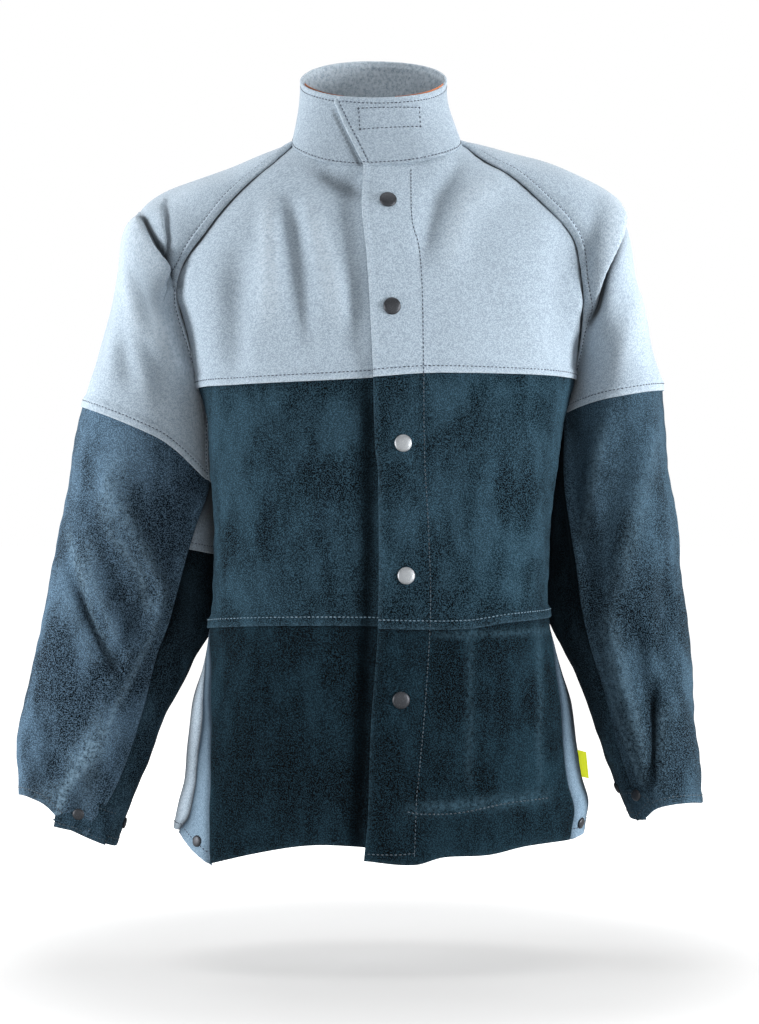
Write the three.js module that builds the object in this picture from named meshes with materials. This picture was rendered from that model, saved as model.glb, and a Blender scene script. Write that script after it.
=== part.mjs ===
// Welding jacket in millimetres, shown as worn: stand-up collar, lapped front closed with snaps, raglan sleeves.
// Z is up, the front faces -Y and the wearer's left is +X. The origin is the middle of the neck at the collar seam.
// Every cloth and leather panel is a thin closed wall over one shared body form and two sleeve forms.
import * as THREE from "three";

// Walls and clearances.
const COTTON_WALL = 1.2;
const LEATHER_WALL = 1.8;
const COLLAR_WALL = 2.6;
const TRIM_WALL = 1.0;
const SEAM_INSET = 0.4;
const RAGLAN_INSET = 1.8;
const SIDE_INSET = 1.7;
const UNDER_INSET = 1.4;
const BACK_INSET = 1.0;
const SEAT_GAP = 0.3;

// Lapped front: the left front lies over the right front.
const LAP_WIDTH = 28;
const LAP_LIFT = 6;
const LAP_FADE = 74;
const LAP_NECK = { share: 0.5, from: -33, to: -85 };

// Snap caps: diameter and dome height.
const FRONT_SNAP = { diameter: 17.5, rise: 3.4 };
const SMALL_SNAP = { diameter: 12, rise: 2.4 };
const SNAP_SEGMENTS = 16;
const SNAP_PROFILE = table(["radius", "rise"], [
  [0.0, 0.0], [0.92, 0.0], [1.0, 0.22], [0.9, 0.62], [0.55, 0.92], [0.0, 1.0],
]);

// Label loop in the left side seam.
const LABEL = { width: 9.5, length: 28, wall: 1.6, height: -651, angle: 87 };
const LABEL_HEIGHTS = [-0.5, -0.25, 0, 0.25, 0.5];
const LABEL_FACES = [-0.5, 0.5];

// Grid steps of the faceted walls, columns by rows.
const YOKE_GRID = [11, 10];
const TIER_GRID = [11, 8];
const SIDE_GRID = [2, 14];
const BACK_GRID = [16, 18];
const RAGLAN_GRID = [14, 14];
const TOP_SLEEVE_GRID = [14, 13];
const UNDER_CUFF_GRID = [5, 12];
const UNDER_ARM_GRID = [4, 5];
const COLLAR_GRID = [40, 4];
const TRIM_GRID = [8, 1];
const TAB_GRID = [6, 3];

// Body sections: half widths to the wearer's right and left, depths to the front and back, squareness of the oval,
// and the share by which the flanks draw in behind the front corners to make room for the sleeves.
const BODY = table(["height", "right", "left", "front", "back", "square", "pinch"], [
  [-760, 214, 214, 126, 130, 2.6, 0], [-712, 210, 223, 127, 132, 2.6, 0], [-691, 206, 227, 128, 133, 2.6, 0],
  [-666, 199, 220, 129, 134, 2.6, 0], [-628, 196, 214, 130, 136, 2.6, 0], [-585, 191, 207, 131, 138, 2.6, 0],
  [-545, 180, 197, 132, 139, 2.7, 0.02], [-490, 173, 186, 133, 140, 2.9, 0.07], [-435, 171, 186, 134, 140, 3, 0.08],
  [-374, 171, 192, 134, 140, 3, 0.08], [-327, 174, 199, 134, 141, 2.9, 0.075], [-281, 180, 205, 134, 142, 2.7, 0.035],
  [-246, 187, 211, 133, 143, 2.5, 0], [-213, 195, 218, 131, 143, 2.5, 0], [-180, 206, 228, 128, 142, 2.5, 0],
  [-155, 213, 234, 125, 140, 2.5, 0], [-120, 209, 235, 118, 136, 2.5, 0], [-93, 198, 228, 111, 131, 2.5, 0],
  [-68, 180, 212, 101, 125, 2.4, 0], [-48, 161, 193, 91, 119, 2.3, 0], [-34, 144, 173, 84, 114, 2.2, 0],
  [-22, 125, 148, 78, 109, 2.1, 0], [-10, 105, 118, 72, 104, 2.0, 0], [5, 86, 87, 64, 95, 2.0, 0],
  [18, 74, 75, 56, 86, 2.0, 0], [31, 66, 66, 50, 76, 2.0, 0], [45, 60, 60, 45, 66, 2.0, 0],
]);
const PINCH = { from: 72, to: 93 };

// Edges of the front and back panels as angles from the centre front: raglan seam above the underarm, side below.
const EDGES = {
  right: table(["height", "front", "back"], [
    [-760, 61.5, 78], [-719, 61.8, 77.6], [-697, 62.2, 71.5], [-640, 63.5, 71.3], [-585, 66, 71], [-540, 70, 77],
    [-500, 76, 84], [-420, 84, 90], [-350, 89, 92.4], [-290, 92.3, 92.9], [-270, 89, 96], [-246, 85, 99],
    [-213, 80.5, 102], [-180, 79.4, 104], [-155, 79, 105.6], [-121, 73, 108.4], [-102, 68.5, 109.6],
    [-69, 67, 113], [-45, 66, 116.5], [-23, 65, 120], [-2.5, 71, 125], [22, 71, 132],
  ]),
  left: table(["height", "front", "back"], [
    [-760, 72, 88], [-723, 71.9, 88], [-662, 70.8, 87], [-580, 72.2, 84], [-520, 75, 86], [-487, 78, 88],
    [-420, 84, 91], [-330, 89, 92.2], [-258, 92.3, 92.9], [-240, 88, 97], [-213, 82, 100], [-190, 77, 102.5],
    [-164, 74.7, 104.5], [-136, 73, 106.5], [-106, 72.6, 109], [-68, 69, 113], [-34, 68, 118], [-20, 66.5, 121],
    [0, 74, 126], [22, 74, 132],
  ]),
};

// Collar seam round the neck, by angle from the centre front.
const NECKLINE = table(["angle", "height"], [
  [0, -33.5], [30, -28], [60, -11], [76, 1], [90, 8], [110, 15], [132, 22], [180, 31],
]);

// Upper sleeves from neck to underarm: heights of the front and back seams, outer line and half depth.
const SHOULDER = {
  right: table(["share", "front", "back", "x", "y", "z", "depth"], [
    [0, -2.5, 22, -81, 12, 10, 40], [0.1, -23, 8, -113, 13, -2, 50], [0.2, -45, -12, -150, 14, -19, 58],
    [0.3, -69, -40, -190, 14, -33, 66], [0.4, -100, -72, -226, 13, -47, 74], [0.5, -121, -104, -250, 12, -64, 76],
    [0.58, -143, -130, -261, 11, -86, 76], [0.66, -162, -156, -267, 10, -112, 76],
    [0.76, -192, -190, -277, 8, -150, 75], [0.86, -225, -225, -287, 6, -193, 73],
    [0.94, -260, -260, -297, 5, -228, 70], [1, -290, -290, -305, 4, -254, 67],
  ]),
  left: table(["share", "front", "back", "x", "y", "z", "depth"], [
    [0, 0, 22, 81, 12, 10, 40], [0.1, -15, 8, 118, 13, 4, 50], [0.2, -32, -12, 156, 14, -7, 58],
    [0.3, -50, -38, 198, 14, -18, 66], [0.4, -76, -66, 232, 13, -34, 74], [0.5, -98, -92, 256, 12, -52, 78],
    [0.58, -118, -116, 269, 11, -76, 79], [0.66, -140, -142, 274, 10, -104, 79], [0.76, -170, -174, 279, 8, -144, 78],
    [0.86, -203, -206, 289, 6, -184, 77], [0.94, -236, -236, 298, 5, -220, 76], [1, -258, -258, 306, 4, -248, 74],
  ]),
};

// Lower sleeves from the underarm to the cuff: centre, half width, half depth and lean of each section.
const SLEEVE = {
  right: table(["along", "x", "y", "z", "half", "depth", "lean"], [
    [0, -240, 6, -272, 67, 67, 16], [60, -244, 9, -335, 77, 65, 13.5], [135, -250, 9, -411, 84, 62, 13],
    [207, -257, 4, -483, 90, 57, 15], [244, -271, 0, -519, 83, 54, 17], [310, -292, -8, -582, 74, 50, 19],
    [381, -312, -14, -650, 68, 45, 22], [442, -322, -20, -710, 57, 38, 27.7],
  ]),
  left: table(["along", "x", "y", "z", "half", "depth", "lean"], [
    [0, 257, 6, -253, 49, 74, 6], [86, 250.5, 9, -339, 61, 74, 6], [175, 253.6, 9, -428, 72, 72, 6],
    [229, 256, 4, -481, 75, 70, 7.5], [314, 279, -4, -565, 58, 66, 10], [373, 289.6, -12, -623, 51, 62, 11],
    [406, 297.6, -15, -655, 46.5, 58, 12], [451, 307, -20, -699, 38.5, 54, 13],
  ]),
};

// Long seams between the top and under sleeves, as angles from the outer line to the front and to the back.
const SLEEVE_SEAMS = {
  right: table(["along", "front", "back"], [
    [0, 176, 176], [60, 160, 150], [115, 139, 130], [200, 122, 122], [244, 125, 122], [310, 135, 122],
    [381, 136, 122], [442, 118, 120],
  ]),
  left: table(["along", "front", "back"], [
    [0, 176, 176], [80, 150, 140], [175, 128, 124], [229, 123, 122], [314, 134, 122], [373, 135, 122],
    [451, 138, 122],
  ]),
};

// Seam between the cotton and the leather of the top sleeve, by angle round the sleeve.
const SLEEVE_TIERS = {
  right: table(["angle", "along"], [[-180, 62], [-140, 55], [-90, 25], [0, 15], [90, 25], [140, 55], [180, 62]]),
  left: table(["angle", "along"], [[-180, 26], [-140, 18], [-90, 9], [0, 5], [90, 9], [140, 18], [180, 26]]),
};
const UNDERARM_STATION = 1.06;
const UNDER_TIERS = { right: 131, left: 36 };

// Stations: sleeve length of one station, least size of an arc over its chord, and the angles at which ends are read.
const STATION_LENGTH = 100;
const LEAST_ARC = 1.02;
const TOP_SPAN = [-150, 150];
const UNDER_SPAN = [122, 210];

// Cuff hem: how far each side stops short of the last section, by angle round the sleeve.
const CUFF_HEM = {
  right: table(["angle", "short"], [[-180, 0], [-120, 0], [-85, 11], [-60, 9], [0, 0], [90, 0], [180, 0]]),
  left: table(["angle", "short"], [[-180, 0], [-150, 0], [-118, 10], [-90, 11], [-60, 8], [0, 0], [180, 0]]),
};

// Overlapping cuff tabs: angles round the sleeve, length along it and reach past the hem, then the share of
// the width where the free end starts to turn and how far its lower corner is taken up.
const CUFF_TABS = {
  right: { from: -146, to: -80, length: 36, past: 1.5, turn: 0.7, rise: -5 },
  left: { from: -150, to: -116, length: 34, past: 0.5, turn: 0.1, rise: 16 },
};

// Rounded free end of a tab: where the rounding stops, and the share of the length that it takes off.
const TAB_ROUND = { to: 0.99, length: 0.3 };

// Front edge of the overlapping left front, by height.
const PLACKET = table(["height", "x"], [
  [-760, -11], [-735, -9.8], [-699, -6.3], [-600, -2.7], [-498, 4.3], [-348, 4.3], [-321, 1.3], [-232, -1.2],
  [-130, -7], [-81, -12], [-33, -10.6],
]);

// Cross seams and hems, by share of the panel from its lower to its higher angle.
const YOKE_SEAM = {
  right: table(["share", "height"], [[0, -251], [0.4, -251], [1, -245]]),
  left: table(["share", "height"], [[0, -246], [0.3, -241], [1, -242]]),
};
const TIER_SEAM = {
  right: table(["share", "height"], [[0, -502], [0.4, -496], [1, -496]]),
  left: table(["share", "height"], [[0, -498], [0.45, -499], [0.65, -493], [1, -490]]),
};
const FRONT_HEM = {
  right: table(["share", "height"], [[0, -746], [0.2, -733], [0.42, -724], [0.6, -722], [1, -727]]),
  left: table(["share", "height"], [[0, -737], [0.3, -742], [0.45, -735], [0.65, -733], [0.8, -726], [1, -724]]),
};
const SIDE_HEM = {
  right: table(["share", "height"], [[0, -717], [1, -746]]),
  left: table(["share", "height"], [[0, -724], [1, -718]]),
};
const BACK_HEM = table(["share", "height"], [[0, -718], [0.2, -724], [0.5, -728], [0.8, -722], [1, -717]]);

// Stand collar: rim half width, depths and heights, then the flap end angles at the base and at the rim.
const RIM = { half: 78, front: 75, back: 75, sideHeight: 73, tilt: 33 };
const COLLAR = {
  start: 13, endBase: -367, endRim: -390, lap: 3.4, lapFrom: -300, lapTo: -336, lift: 0.9, lapRise: 1.6, bulge: -1.5,
};
const COLLAR_CORNER = 8;

// Rust edging inside the front rim, as collar angles; it stands just above the rim.
const TRIM = { right: [-74, -24], left: [-344, -286], depth: 4, stand: 0.8, inset: 1.3 };

// Main folds seen from the front: from and to points, width and rise; a negative rise is a valley.
const FOLDS = table(["fromX", "fromZ", "toX", "toZ", "width", "rise"], [
  [-252, -78, -212, -150, 13, -9],
  [-216, -62, -214, -148, 12, -5],
  [-262, -110, -222, -250, 22, 5],
  [-232, -170, -198, -250, 16, -6],
  [258, -76, 214, -200, 14, -10],
  [238, -66, 214, -150, 20, 5],
  [-148, -105, -152, -215, 18, -5],
  [-92, -105, -94, -225, 20, 4],
  [-66, -50, -18, -64, 16, -4],
  [196, -105, 196, -205, 16, -5],
  [84, -30, 52, -80, 14, -4],
  [-325, -470, -284, -550, 17, -6],
  [-348, -690, -296, -622, 16, 5],
  [270, -275, 196, -480, 30, -7],
  [240, -300, 214, -440, 18, 6],
  [242, -500, 288, -660, 15, 6],
  [292, -580, 288, -660, 13, -7],
]);
const FOLD_FADE = 0.25;

// Snap caps: where each one is met by a ray from the front or from the side.
const SNAPS = table(["name", "x", "z", "from", "host", "size"], [
  ["front_snap_1", 14.5, -69, "front", "front_yoke_left", FRONT_SNAP],
  ["front_snap_2", 18.4, -179, "front", "front_yoke_left", FRONT_SNAP],
  ["front_snap_3", 29.5, -317, "front", "front_leather_upper_left", FRONT_SNAP],
  ["front_snap_4", 32.5, -450, "front", "front_leather_upper_left", FRONT_SNAP],
  ["front_snap_5", 27.4, -575, "front", "front_leather_lower_left", FRONT_SNAP],
  ["cuff_snap_right_1", -306, -699, "front", "cuff_tab_right", SMALL_SNAP],
  ["cuff_snap_right_2", -20, -713, "side", "sleeve_leather_under_right", SMALL_SNAP],
  ["cuff_snap_left_1", 272, -679, "front", "cuff_tab_left", SMALL_SNAP],
  ["cuff_snap_left_2", -20, -676, "side", "sleeve_leather_under_left", SMALL_SNAP],
  ["hem_snap_right", -80, -724, "flank", "side_panel_right", SMALL_SNAP],
  ["hem_snap_left", -58, -708, "flank", "side_panel_left", SMALL_SNAP],
]);
const FAR = 900;

// Materials.
const COTTON = new THREE.MeshStandardMaterial({ name: "cotton", color: 0x98a6b2, roughness: 0.9 });
const LEATHER = new THREE.MeshStandardMaterial({ name: "leather", color: 0x2a3640, roughness: 0.85 });
const METAL = new THREE.MeshStandardMaterial({ name: "metal", color: 0x77736e, roughness: 0.4, metalness: 1 });
const TRIM_CLOTH = new THREE.MeshStandardMaterial({ name: "trim", color: 0xa8582c, roughness: 0.8 });
const LABEL_CLOTH = new THREE.MeshStandardMaterial({ name: "label", color: 0xc6d02e, roughness: 0.7 });

const SIDES = { right: -1, left: 1 };
const jacket = new THREE.Group();
jacket.name = "welding_jacket";

// Rows with named columns.
function table(columns, rows) {
  return rows.map((row) => Object.fromEntries(columns.map((column, index) => [column, row[index]])));
}

function radians(degrees) {
  return THREE.MathUtils.degToRad(degrees);
}

// Smooth reading of one column between the rows of a table.
function read(rows, key, at, column) {
  const last = rows.length - 1;
  if (at <= rows[0][key]) return rows[0][column];
  if (at >= rows[last][key]) return rows[last][column];
  const index = rows.findIndex((row) => row[key] > at) - 1;
  const slope = (from, to) => (rows[to][column] - rows[from][column]) / (rows[to][key] - rows[from][key]);
  const span = rows[index + 1][key] - rows[index][key];
  const part = (at - rows[index][key]) / span;
  const start = slope(Math.max(index - 1, 0), index + 1) * span;
  const end = slope(index, Math.min(index + 2, last)) * span;
  const square = part * part;
  const cube = square * part;
  const fromStart = (2 * cube - 3 * square + 1) * rows[index][column] + (cube - 2 * square + part) * start;
  const fromEnd = (3 * square - 2 * cube) * rows[index + 1][column] + (cube - square) * end;
  return fromStart + fromEnd;
}

// Point of the body form at an angle from the centre front, positive to the wearer's left.
function bodyPoint(angle, height) {
  const across = Math.sin(radians(angle));
  const forward = Math.cos(radians(angle));
  const half = read(BODY, "height", height, across < 0 ? "right" : "left");
  const depth = read(BODY, "height", height, forward > 0 ? "front" : "back");
  const square = read(BODY, "height", height, "square");
  const sum = (Math.abs(across) / half) ** square + (Math.abs(forward) / depth) ** square;
  const radius = sum ** (-1 / square);
  const turned = THREE.MathUtils.radToDeg(Math.acos(forward));
  const drawn = read(BODY, "height", height, "pinch") * THREE.MathUtils.smoothstep(turned, PINCH.from, PINCH.to);
  return new THREE.Vector3(radius * across * (1 - drawn), -radius * forward, height);
}

function neckHeight(angle) {
  const folded = Math.abs(THREE.MathUtils.euclideanModulo(angle + 180, 360) - 180);
  return read(NECKLINE, "angle", folded, "height");
}

// Angle from the centre front of a point across the front at a given height.
function frontAngle(x, height) {
  return THREE.MathUtils.radToDeg(Math.atan2(x, read(BODY, "height", height, "front")));
}

function placketAngle(height) {
  return frontAngle(read(PLACKET, "height", height, "x"), height);
}

function underlapAngle(height) {
  return frontAngle(read(PLACKET, "height", height, "x") + LAP_WIDTH, height);
}

// Lift of the left front over the right front, strongest at the front edge.
function lapLift(point) {
  const inside = point.x - read(PLACKET, "height", point.z, "x");
  const below = THREE.MathUtils.smoothstep(-point.z, -LAP_NECK.from, -LAP_NECK.to);
  const neck = THREE.MathUtils.lerp(LAP_NECK.share, 1, below);
  return LAP_LIFT * neck * (1 - THREE.MathUtils.smoothstep(inside, 0, LAP_FADE));
}

// One section of a sleeve. Up to station 1 it spans the raglan seams, beyond that it is a closed oval.
function sleeveSection(side, station) {
  if (station > 1) {
    const along = (station - 1) * STATION_LENGTH;
    const value = (column) => read(SLEEVE[side], "along", along, column);
    const lean = radians(value("lean"));
    const outward = new THREE.Vector3(SIDES[side] * Math.cos(lean), 0, Math.sin(lean));
    return {
      centre: new THREE.Vector3(value("x"), value("y"), value("z")),
      reach: outward.multiplyScalar(value("half")),
      girth: new THREE.Vector3(0, value("depth"), 0),
      front: -read(SLEEVE_SEAMS[side], "along", along, "front"),
      back: read(SLEEVE_SEAMS[side], "along", along, "back"),
    };
  }
  const value = (column) => read(SHOULDER[side], "share", station, column);
  const seamPoint = (edge) => {
    const height = value(edge);
    return bodyPoint(SIDES[side] * read(EDGES[side], "height", height, edge), height);
  };
  const front = seamPoint("front");
  const back = seamPoint("back");
  const middle = front.clone().lerp(back, 0.5);
  const toOuter = new THREE.Vector3(value("x"), value("y"), value("z")).sub(middle);
  const gap = front.distanceTo(back) / 2;
  const depth = Math.max(value("depth"), gap * LEAST_ARC);
  const tuck = Math.asin(gap / depth);
  const reach = toOuter.clone().multiplyScalar(1 / (1 + Math.cos(tuck)));
  const limit = 180 - THREE.MathUtils.radToDeg(tuck);
  return {
    centre: middle.addScaledVector(reach, Math.cos(tuck)),
    reach,
    girth: back.clone().sub(front).setLength(depth),
    front: -limit,
    back: limit,
  };
}

// Point of a sleeve at a station along it and an angle round it, zero at the outer line and negative to the front.
function sleevePoint(side, station, angle) {
  const section = sleeveSection(side, station);
  const point = section.centre.clone();
  point.addScaledVector(section.reach, Math.cos(radians(angle)));
  return point.addScaledVector(section.girth, Math.sin(radians(angle)));
}

// Rise of all folds at a point, for surface that faces the front.
function foldRise(point, normal) {
  const facing = Math.sqrt(Math.max(-normal.y, 0));
  const risen = FOLDS.map((fold) => {
    const run = new THREE.Vector2(fold.toX - fold.fromX, fold.toZ - fold.fromZ);
    const offset = new THREE.Vector2(point.x - fold.fromX, point.z - fold.fromZ);
    const share = THREE.MathUtils.clamp(offset.dot(run) / run.lengthSq(), 0, 1);
    const away = offset.addScaledVector(run, -share).length() / fold.width;
    const ends = THREE.MathUtils.smoothstep(Math.min(share, 1 - share), -FOLD_FADE, FOLD_FADE);
    return fold.rise * ends * Math.exp(-away * away);
  });
  return facing * risen.reduce((sum, rise) => sum + rise, 0);
}

// Grid of points over the unit square.
function makeGrid([columns, rows], pointAt) {
  const line = (row) => Array.from({ length: columns + 1 }, (_, column) => pointAt(column / columns, row / rows));
  return Array.from({ length: rows + 1 }, (_, row) => line(row));
}

// Unit normals of a grid, pointing along the turn from columns to rows times the given sign.
function gridNormals(grid, sign) {
  const lastRow = grid.length - 1;
  const lastColumn = grid[0].length - 1;
  return grid.map((line, row) => line.map((_, column) => {
    const before = line[Math.max(column - 1, 0)];
    const after = line[Math.min(column + 1, lastColumn)];
    const below = grid[Math.max(row - 1, 0)][column];
    const above = grid[Math.min(row + 1, lastRow)][column];
    const across = after.clone().sub(before);
    return across.cross(above.clone().sub(below)).normalize().multiplyScalar(sign);
  }));
}

// Grid moved along its normals.
function offsetGrid(grid, normals, distance) {
  return grid.map((line, row) => line.map((point, column) => {
    const by = typeof distance === "function" ? distance(point, normals[row][column]) : distance;
    return point.clone().addScaledVector(normals[row][column], by);
  }));
}

// Edge points drawn in along the surface, so that neighbouring panels keep a gap at their sides and ends.
function insetEdges(grid, sides, ends) {
  const lastRow = grid.length - 1;
  const lastColumn = grid[0].length - 1;
  const drawn = grid.map((line) => line.map((point) => point.clone()));
  const draw = (row, column, towards, inset) => {
    const step = towards.clone().sub(grid[row][column]);
    drawn[row][column].addScaledVector(step.normalize(), inset);
  };
  grid.forEach((line, row) => {
    draw(row, 0, line[1], sides);
    draw(row, lastColumn, line[lastColumn - 1], sides);
  });
  grid[0].forEach((_, column) => {
    draw(0, column, grid[1][column], ends);
    draw(lastRow, column, grid[lastRow - 1][column], ends);
  });
  return drawn;
}

// Closed wall between an outer and an inner grid.
function wallGeometry(outer, inner, sign) {
  const rows = outer.length;
  const columns = outer[0].length;
  const points = [...outer.flat(), ...inner.flat()];
  const index = [];
  const under = rows * columns;
  const quad = (a, b, c, d) => {
    if (sign > 0) index.push(a, b, c, a, c, d);
    else index.push(a, c, b, a, d, c);
  };
  for (let row = 0; row < rows - 1; row++) {
    for (let column = 0; column < columns - 1; column++) {
      const a = row * columns + column;
      quad(a, a + 1, a + columns + 1, a + columns);
      quad(under + a, under + a + columns, under + a + columns + 1, under + a + 1);
    }
  }
  const rim = [];
  for (let column = 0; column < columns - 1; column++) rim.push(column);
  for (let row = 0; row < rows - 1; row++) rim.push(row * columns + columns - 1);
  for (let column = columns - 1; column > 0; column--) rim.push((rows - 1) * columns + column);
  for (let row = rows - 1; row > 0; row--) rim.push(row * columns);
  rim.forEach((a, place) => {
    const b = rim[(place + 1) % rim.length];
    quad(b, a, under + a, under + b);
  });
  const geometry = new THREE.BufferGeometry().setFromPoints(points);
  geometry.setIndex(index);
  geometry.computeVertexNormals();
  return geometry;
}

function addMesh(name, geometry, material) {
  const mesh = new THREE.Mesh(geometry, material);
  mesh.name = name;
  jacket.add(mesh);
  return mesh;
}

// Panel wall over a form: folds and lifts move the outer face, the wall lies inside it.
function addPanel({ name, grid, sign, wall, material, lift = () => 0, folded = true, inset = SEAM_INSET }) {
  const normals = gridNormals(grid, sign);
  const moved = offsetGrid(grid, normals, (point, normal) => lift(point) + (folded ? foldRise(point, normal) : 0));
  const outer = insetEdges(moved, inset, Math.min(inset, SEAM_INSET));
  const inner = offsetGrid(outer, gridNormals(outer, sign), -wall);
  return addMesh(name, wallGeometry(outer, inner, sign), material);
}

// Panel of the body between two angles and two heights, each edge keeping its own curve.
function bodyGrid(steps, { start, end, bottom, top }) {
  const lerp = THREE.MathUtils.lerp;
  const angleAt = (across, up) => {
    const first = start(lerp(bottom(0), top(0), up));
    const second = end(lerp(bottom(1), top(1), up));
    return lerp(first, second, across);
  };
  return makeGrid(steps, (across, up) => bodyPoint(angleAt(across, up), lerp(bottom(across), top(across), up)));
}

// Height round the neck for a panel whose top runs between two angles.
function neckTop(from, to) {
  return (share) => neckHeight(THREE.MathUtils.lerp(from, to, share));
}

function edgeAngle(side, edge) {
  return (height) => SIDES[side] * read(EDGES[side], "height", height, edge);
}

function heightOf(rows) {
  return (share) => read(rows, "share", share, "height");
}

function addFronts() {
  const neckSide = (side) => read(EDGES[side], "height", SHOULDER[side][0].front, "front");
  const spans = {
    right: { start: edgeAngle("right", "front"), end: underlapAngle },
    left: { start: placketAngle, end: edgeAngle("left", "front") },
  };
  const tops = {
    right: neckTop(-neckSide("right"), underlapAngle(NECKLINE[0].height)),
    left: neckTop(placketAngle(NECKLINE[0].height), neckSide("left")),
  };
  for (const side of Object.keys(SIDES)) {
    const lift = side === "left" ? lapLift : undefined;
    const tiers = [
      [`front_yoke_${side}`, YOKE_GRID, heightOf(YOKE_SEAM[side]), tops[side], COTTON_WALL, COTTON],
      [`front_leather_upper_${side}`, TIER_GRID, heightOf(TIER_SEAM[side]), heightOf(YOKE_SEAM[side]),
        LEATHER_WALL, LEATHER],
      [`front_leather_lower_${side}`, TIER_GRID, heightOf(FRONT_HEM[side]), heightOf(TIER_SEAM[side]),
        LEATHER_WALL, LEATHER],
    ];
    for (const [name, steps, bottom, top, wall, material] of tiers) {
      const grid = bodyGrid(steps, { ...spans[side], bottom, top });
      addPanel({ name, grid, sign: 1, wall, material, lift });
    }
  }
}

function addSidesAndBack() {
  for (const side of Object.keys(SIDES)) {
    const underarm = SHOULDER[side].at(-1).front;
    const edges = [edgeAngle(side, "front"), edgeAngle(side, "back")];
    const [start, end] = side === "left" ? edges : edges.reverse();
    const grid = bodyGrid(SIDE_GRID, { start, end, bottom: heightOf(SIDE_HEM[side]), top: () => underarm });
    addPanel({ name: `side_panel_${side}`, grid, sign: 1, wall: COTTON_WALL, material: COTTON, inset: SIDE_INSET });
  }
  const rightBack = (height) => 360 + edgeAngle("right", "back")(height);
  const neckBack = (side) => read(EDGES[side], "height", SHOULDER[side][0].back, "back");
  const grid = bodyGrid(BACK_GRID, {
    start: edgeAngle("left", "back"),
    end: rightBack,
    bottom: heightOf(BACK_HEM),
    top: neckTop(neckBack("left"), 360 - neckBack("right")),
  });
  const back = { name: "back_panel", grid, sign: 1, wall: COTTON_WALL, material: COTTON, folded: false };
  addPanel({ ...back, inset: BACK_INSET });
}

function stationAt(along) {
  return 1 + along / STATION_LENGTH;
}

// Station where the last sleeve section stops at an angle round the sleeve.
function cuffStation(side, angle) {
  const folded = THREE.MathUtils.euclideanModulo(angle + 180, 360) - 180;
  const length = SLEEVE[side].at(-1).along;
  return stationAt(length - read(CUFF_HEM[side], "angle", folded, "short"));
}

function tierStation(side, angle) {
  return stationAt(read(SLEEVE_TIERS[side], "angle", angle, "along"));
}

// Direction in which a sleeve runs out at its cuff.
function cuffWay(side) {
  const [before, last] = SLEEVE[side].slice(-2);
  return new THREE.Vector3(last.x - before.x, last.y - before.y, last.z - before.z).normalize();
}

// Overlapping tab of one cuff, rounded at its free end.
function tabGrid(side) {
  const lerp = THREE.MathUtils.lerp;
  const tab = CUFF_TABS[side];
  const length = SLEEVE[side].at(-1).along;
  const way = cuffWay(side);
  return makeGrid(TAB_GRID, (across, down) => {
    const turn = Math.max(across - tab.turn, 0) / (1 - tab.turn);
    const round = 1 - Math.sqrt(1 - turn ** 2);
    const upper = length - tab.length * (1 - TAB_ROUND.length * round);
    const lower = length + tab.past - tab.rise * turn;
    const angle = lerp(tab.from, tab.to, Math.min(across, TAB_ROUND.to));
    const along = lerp(upper, lower, down);
    return sleevePoint(side, stationAt(along), angle).addScaledVector(way, Math.max(along - length, 0));
  });
}

function addSleeves() {
  const lerp = THREE.MathUtils.lerp;
  for (const side of Object.keys(SIDES)) {
    const sign = -SIDES[side];
    const topGrid = (steps, from, to) => makeGrid(steps, (across, down) => {
      const rough = lerp(...TOP_SPAN, across);
      const station = lerp(from(rough), to(rough), down);
      const section = sleeveSection(side, station);
      return sleevePoint(side, station, lerp(section.front, section.back, across));
    });
    const underGrid = (steps, from, to) => makeGrid(steps, (across, down) => {
      const station = lerp(from, to(lerp(...UNDER_SPAN, across)), down);
      const section = sleeveSection(side, station);
      return sleevePoint(side, station, lerp(section.back, section.front + 360, across));
    });
    const underStation = stationAt(UNDER_TIERS[side]);
    const parts = [
      [`raglan_sleeve_${side}`, topGrid(RAGLAN_GRID, () => 0, (angle) => tierStation(side, angle)), COTTON,
        RAGLAN_INSET],
      [`sleeve_leather_top_${side}`,
        topGrid(TOP_SLEEVE_GRID, (angle) => tierStation(side, angle), (angle) => cuffStation(side, angle)), LEATHER,
        SEAM_INSET],
      [`under_sleeve_${side}`, underGrid(UNDER_ARM_GRID, UNDERARM_STATION, () => underStation), COTTON, UNDER_INSET],
      [`sleeve_leather_under_${side}`,
        underGrid(UNDER_CUFF_GRID, underStation, (angle) => cuffStation(side, angle)), LEATHER, UNDER_INSET],
    ];
    for (const [name, grid, material, inset] of parts) {
      const wall = material === COTTON ? COTTON_WALL : LEATHER_WALL;
      addPanel({ name, grid, sign, wall, material, inset });
    }
    const lift = () => LEATHER_WALL + 2 * SEAT_GAP;
    const name = `cuff_tab_${side}`;
    addPanel({ name, grid: tabGrid(side), sign, wall: LEATHER_WALL, material: LEATHER, lift });
  }
}

// Point of the collar at an angle along its turn and a share of its height.
function collarPoint(angle, share) {
  const base = bodyPoint(angle, neckHeight(angle));
  const lapped = THREE.MathUtils.smoothstep(-angle, -COLLAR.lapFrom, -COLLAR.lapTo);
  base.z += COLLAR.lift + COLLAR.lapRise * lapped;
  const forward = Math.cos(radians(angle));
  const depth = forward > 0 ? RIM.front : RIM.back;
  const rim = new THREE.Vector3(
    RIM.half * Math.sin(radians(angle)),
    -depth * forward,
    RIM.sideHeight - RIM.tilt * forward,
  );
  const point = base.lerp(rim, share);
  const outward = new THREE.Vector3(point.x, point.y, 0).normalize();
  return point.addScaledVector(outward, COLLAR.lap * lapped + COLLAR.bulge * Math.sin(Math.PI * share));
}

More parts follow.
